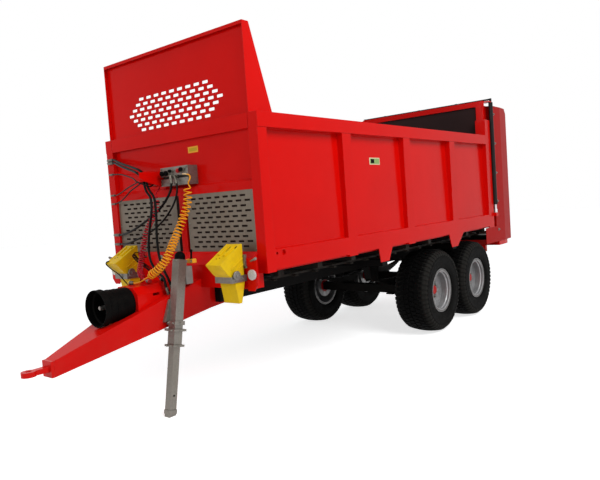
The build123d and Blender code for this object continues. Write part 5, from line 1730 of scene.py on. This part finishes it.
@dataclass
class GuardRings(Trim):
    """Ribs round the bell over the power take-off, and the splines of its stub.

    Stations are each rib's place and half its width. Mouth, neck and root are places along the
    bell with its radius there.
    """

    stations: Profile = ((-3.479, 0.007), (-3.424, 0.005), (-3.345, 0.004), (-3.270, 0.004),
                         (-3.157, 0.008))
    mouth: tuple[float, float] = (-3.417, 0.175)
    neck: tuple[float, float] = (-3.405, 0.163)
    root: tuple[float, float] = (-3.147, 0.153)
    proud: float = 0.0025
    sunk: float = 0.003
    height: float = 1.110
    splines: int = 6
    stub_radius: float = 0.0165
    spline_size: Point = (0.0085, 0.076, 0.006)
    spline_middle: float = 0.042

    def radius(self, y: float) -> float:
        """Gives the bell's radius: a straight mouth, then a slow taper.

        Args:
            y: A place along the bell.

        Returns:
            The radius there.
        """
        if y <= self.mouth[0]:
            return self.mouth[1]
        share = (y - self.neck[0]) / (self.root[0] - self.neck[0])
        return self.neck[1] + (self.root[1] - self.neck[1]) * share

    def build(self) -> None:
        """Adds the ribs and the splines."""
        rings = self.shaper()
        for y, half in self.stations:
            place = frame_along(REARWARD, Vector((0.0, y, self.height)))
            inner, outer = self.radius(y) - self.sunk, self.radius(y) + self.proud
            rings.ring(((inner, -half), (outer, -half * 0.6), (outer, half * 0.6),
                        (inner, half)), place)
        rings.put("guard_ribs", "root", Finish.BELL, smooth=50, slot="black_plastic")
        stub_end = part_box("pto_shaft")[0].y
        teeth = self.shaper()
        for number in range(self.splines):
            turn = Matrix.Rotation(-math.tau * number / self.splines, 3, "Y")
            spot = turn @ Vector((0.0, 0.0, self.stub_radius))
            teeth.block((spot.x, stub_end + self.spline_middle, self.height + spot.z),
                        self.spline_size, turn)
        teeth.put("pto_splines", "pto_input", Finish.STEEL, 0.0006, slot="bare_steel")
        LOG.info("power take-off: %d ribs, %d splines", len(self.stations), self.splines)


@dataclass
class JackTrim(Trim):
    """Nuts and bolts of the parking jack along its leaning tube, and the pad round its foot.

    Collars are given by their height above the lowest one, along the tube, and by the distance
    of their faces from its middle.
    """

    top: Point = (0.374, -2.749, 1.494)
    collar: Point = (0.374, -2.877, 0.803)
    half: float = 0.049
    cap_bolts: Sequence[float] = (-0.028, 0.022)
    cap_bolt_drop: float = 0.016
    collar_bolt_x: float = 0.032
    collars: Sequence[tuple[float, float]] = ((-0.140, 0.068), (0.011, 0.075), (0.080, 0.062))
    pad_size: Point = (0.096, 0.096, 0.050)
    pad_rise: float = 0.042

    def build(self) -> None:
        """Adds the nuts under the cap, the bolts of the collars and the foot's pad."""
        top, collar = Vector(self.top), Vector(self.collar)
        up = (top - collar).normalized()
        ahead = Vector((0.0, -up.z, up.y)).normalized()
        parts = self.shaper()
        for across in self.cap_bolts:
            spot = top - up * self.cap_bolt_drop + LEFT * across + ahead * self.half
            parts.bolt(spot, ahead, 0.008)
        for lift, reach in self.collars:
            for sign in (-1, 1):
                spot = collar + up * lift
                parts.bolt(spot + ahead * reach + LEFT * sign * self.collar_bolt_x, ahead)
                parts.bolt(spot + LEFT * sign * reach, LEFT * sign)
        parts.put("jack_bolts", "root", Finish.ZINC, slot="galvanised")
        self.pad(collar - up * (collar.z / up.z), up)
        LOG.info("jack trim: bolts on %d collars", len(self.collars))

    def pad(self, foot: Vector, up: Vector) -> None:
        """Adds the thicker pad round the leg's foot, square to the leg.

        Args:
            foot: Where the leg's middle line meets the ground.
            up: The leg's direction.
        """
        turn = Matrix((LEFT, (0.0, up.z, -up.y), up)).transposed()
        pad = self.shaper()
        pad.block(foot + up * self.pad_rise, self.pad_size, turn)
        pad.put("jack_pad", "jack_inner", Finish.ZINC, 0.012, slot="galvanised")


@dataclass
class JunctionPorts(Trim):
    """Ports, caps and bolts on the galvanised junction bracket, each by its x and z."""

    front_y: float = -2.482
    sockets: Sequence[tuple[float, float, float, Finish]] = (
        (-0.085, 2.372, 0.022, Finish.BELL), (-0.020, 2.372, 0.022, Finish.BELL),
        (0.046, 2.392, 0.014, Finish.BELL), (0.176, 2.385, 0.019, Finish.RED_CAP),
        (0.222, 2.395, 0.018, Finish.BELL))
    screws: Sequence[tuple[float, float]] = ((-0.135, 2.420), (0.277, 2.420), (-0.135, 2.262),
                                             (0.277, 2.262), (0.075, 2.262))
    nuts: Sequence[Point] = ((0.046, 2.341, 0.024), (0.115, 2.332, 0.020), (0.262, 2.344, 0.014))

    def build(self) -> None:
        """Adds the capped sockets, the nuts behind the elbows and the screws."""
        for number, (x, z, size, finish) in enumerate(self.sockets):
            place = frame_along(FORWARD, Vector((x, self.front_y, z)))
            body = self.shaper()
            body.lathe(((size * 1.25, -0.002), (size * 1.25, 0.010), (size * 1.1, 0.012)),
                       place, 6)
            body.lathe(((size, 0.010), (size, 0.026)), place, 24)
            body.put(f"socket_{number}", "root", Finish.FITTING, 0.0005)
            cap = self.shaper()
            cap.lathe(((size * 1.15, 0.024), (size * 1.2, 0.028), (size * 1.2, 0.044),
                       (size * 0.9, 0.050), (size * 0.35, 0.051), (size * 0.3, 0.058),
                       (size * 0.2, 0.060)), place, 24)
            cap.put(f"socket_cap_{number}", "root", finish, 0.0006)
        plate = self.shaper()
        for x, z in self.screws:
            plate.bolt(Vector((x, self.front_y, z)), FORWARD, 0.007)
        for x, z, size in self.nuts:
            place = frame_along(FORWARD, Vector((x, self.front_y, z)))
            plate.lathe(((size, -0.001), (size, 0.012), (size * 0.9, 0.014)), place, 6)
        plate.put("junction_screws", "root", Finish.FITTING, 0.0004, slot="coupling_metal")
        LOG.info("junction bracket: %d sockets", len(self.sockets))


@dataclass
class DrawbarTrim(Trim):
    """Valve unit, box and small parts behind the parking jack."""

    box_low: Point = (0.273, -2.700, 1.235)
    box_high: Point = (0.389, -2.610, 1.414)
    valve_low: Point = (0.321, -2.632, 1.440)
    valve_high: Point = (0.424, -2.575, 1.482)
    grip_foot: Point = (0.374, -2.603, 1.478)
    grip_lean: Point = (0.12, 0.0, 1.0)
    grip: Profile = ((0.016, 0.0), (0.014, 0.010), (0.009, 0.014), (0.010, 0.060),
                     (0.013, 0.085), (0.012, 0.098), (0.006, 0.102))
    screw_inset: tuple[float, float] = (0.018, 0.015)
    boss_spot: Point = (-0.235, -2.497, 1.478)
    boss: Profile = ((0.030, -0.002), (0.030, 0.012), (0.024, 0.016), (0.010, 0.016),
                     (0.010, 0.026), (0.007, 0.028))

    def build(self) -> None:
        """Adds the box, the yellow valve with its grip, and the boss on the beam."""
        self.housing("control_box", self.box_low, self.box_high, Finish.GREY_BOX, 0.008)
        self.housing("valve_body", self.valve_low, self.valve_high, Finish.LABEL, 0.006)
        grip = self.shaper()
        grip.lathe(self.grip, frame_along(Vector(self.grip_lean), Vector(self.grip_foot)), 24)
        grip.put("valve_grip", "root", Finish.BELL, 0.0006, slot="black_plastic")
        boss = self.shaper()
        boss.lathe(self.boss, frame_along(FORWARD, Vector(self.boss_spot)), 28)
        boss.put("beam_boss", "root", Finish.ZINC, 0.0008, slot="galvanised")
        LOG.info("drawbar trim: box and valve")

    def housing(self, name: str, low: Point, high: Point, finish: Finish,
                bevel: float) -> None:
        """Adds a rounded box with four screws on its front face.

        Args:
            name: The box's name.
            low: Its lowest corner.
            high: Its highest corner.
            finish: What it is made of.
            bevel: Width of its rounded edges.
        """
        a, b = Vector(low), Vector(high)
        shaper = self.shaper()
        shaper.block((a + b) / 2, b - a)
        shaper.put(name, "root", finish, bevel)
        screws = self.shaper()
        across, up = self.screw_inset
        for x in (a.x + across, b.x - across):
            for z in (a.z + up, b.z - up):
                screws.bolt(Vector((x, a.y, z)), FORWARD, 0.005)
        screws.put(name + "_screws", "root", Finish.ZINC)


# ---- whole machine -----------------------------------------------------------------------------
NODE_FINISH: dict[Finish, Sequence[str]] = {
    Finish.BODY_RED: ("side_walls", "front_wall"),
    Finish.RED: ("headboard", "hose_arm", "drawbar", "tow_eye", "driveline_housing",
                 "rear_columns", "door_frame", "gear_beam", "top_beam"),
    Finish.SHADED_SHIELD_RED: ("shields",),
    Finish.BLACK: ("axles", "springs", "carrier_beams", "chassis_rails", "chain_shafts"),
    Finish.SHADED_WORN_FLOOR: ("floor", "floor_chain"),
    Finish.BARREL: ("ram_barrels", "hose_bar"),
    Finish.DOOR_SHEET: ("door_panel",),
    Finish.ZINC: ("jack_leg", "jack_tube", "junction_block", "chock_holders"),
    Finish.SCREEN_ZINC: ("screens",),
    Finish.STEEL: ("beater_left", "beater_right", "pto_shaft"),
    Finish.CHROME: ("ram_rods",),
    Finish.BELL: ("jack_cap", "pto_guard"),
    Finish.YELLOW: ("chocks",),
    Finish.CLEAR_LENS: ("lights",),
    Finish.FITTING: ("hose_fittings",),
}


def coat_all(node: bpy.types.Object, material: bpy.types.Material) -> None:
    """Gives every slot of a node one material."""
    for slot in node.material_slots:
        slot.material = material


@dataclass
class Studio:
    """Floor, lamps, pale world and the camera."""

    lens: float = 35.62
    sensor: float = 36.0
    eye: Point = (5.000, -6.527, 1.976)
    ahead: Point = (-0.63036, 0.77365, -0.06411)
    roll: float = -0.0712
    lit_spot: Point = (0.0, -0.5, 1.6)
    key_power: float = 920.0
    fill_power: float = 240.0
    sky_colour: Colour = (0.93, 0.96, 1.0)
    sky: float = 0.36
    white: Colour = (1.0, 1.0, 1.0)
    floor_half: float = 40.0
    floor_z: float = -0.002
    floor_glow: float = 0.71

    def build(self, palette: Palette) -> None:
        """Sets up the whole studio.

        Args:
            palette: Where the materials come from.
        """
        self.floor(palette)
        self.world()
        self.lamp("key_lamp", (9.0, -2.5, 9.0), 6.0, self.key_power)
        self.lamp("fill_lamp", (-2.0, -11.0, 5.0), 5.0, self.fill_power)
        self.camera()
        bpy.context.scene.view_settings.view_transform = "Standard"

    def floor(self, palette: Palette) -> None:
        """Adds the pale floor, which glows only where the background shows.

        Args:
            palette: Where the materials come from.
        """
        shaper, half = Shaper(palette), self.floor_half
        corners = ((-half, -half), (half, -half), (half, half), (-half, half))
        shaper.mesh.faces.new([shaper.mesh.verts.new((x, y, self.floor_z)) for x, y in corners])
        piece = shaper.put("studio_floor", "root", Finish.FLOOR)
        sheet = NodeSheet(palette.of(Finish.FLOOR).node_tree)
        shader = sheet.tree.nodes["Principled BSDF"]
        sheet.feed(shader, "Emission Color", self.white)
        sheet.feed(shader, "Emission Strength",
                   sheet.math("MULTIPLY", sheet.seen(), self.floor_glow))

    def world(self) -> None:
        """Makes a soft pale sky that looks white behind the machine."""
        world = bpy.data.worlds.new("studio_sky")
        bpy.context.scene.world = world
        world.use_nodes = True
        world.node_tree.nodes.clear()
        sheet = NodeSheet(world.node_tree)
        light = sheet.add("ShaderNodeBackground", {0: self.sky_colour, 1: self.sky})
        white = sheet.add("ShaderNodeBackground", {0: self.white, 1: 1.0})
        mixed = sheet.add("ShaderNodeMixShader", {0: sheet.seen(), 1: light.outputs[0],
                                                  2: white.outputs[0]})
        sheet.add("ShaderNodeOutputWorld", {0: mixed.outputs[0]})

    def lamp(self, name: str, spot: Point, size: float, power: float) -> None:
        """Adds a square soft lamp that faces the machine's middle.

        Args:
            name: The lamp's name.
            spot: Where it hangs.
            size: The length of its sides.
            power: Its power in watts.
        """
        data = bpy.data.lights.new(name, "AREA")
        data.size = size
        data.energy = power
        lamp = place_object(name, data)
        lamp.location = spot
        away = Vector(self.lit_spot) - Vector(spot)
        lamp.rotation_euler = away.to_track_quat("-Z", "Y").to_euler()

    def camera(self) -> None:
        """Adds the camera."""
        data = bpy.data.cameras.new("camera")
        data.lens = self.lens
        data.sensor_width = self.sensor
        data.clip_end = 200.0
        camera = place_object("camera", data)
        level = Vector(self.ahead).to_track_quat("-Z", "Y").to_matrix()
        turn = level @ Matrix.Rotation(self.roll, 3, "Z")
        camera.matrix_world = Matrix.Translation(self.eye) @ turn.to_4x4()
        bpy.context.scene.camera = camera


def main() -> None:
    """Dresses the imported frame."""
    logging.basicConfig(level=logging.INFO, format="%(message)s")
    for leftover in list(bpy.context.scene.objects):
        bpy.data.objects.remove(leftover)
    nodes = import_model()["nodes"]
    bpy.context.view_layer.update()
    palette = Palette()
    Studio().build(palette)
    for finish, names in NODE_FINISH.items():
        for name in names:
            coat_all(nodes[name], palette.of(finish))
        LOG.info("%s: %s", finish.value.name, ", ".join(names))
    for hose in (*HYDRAULIC_HOSES, CHOCK_STRAP):
        hose.build(palette)
    for cord, head in zip(COILED_CORDS, COUPLING_HEADS):
        cord.build(palette, head.build(palette))
    TreadedTyre(palette).build()
    WheelTrim(palette).build(nodes)
    for trim in (JunctionPorts, ChockTrim, BodyTrim, GuardRings, JackTrim, DrawbarTrim):
        trim(palette).build()


if __name__ == "__main__":
    main()
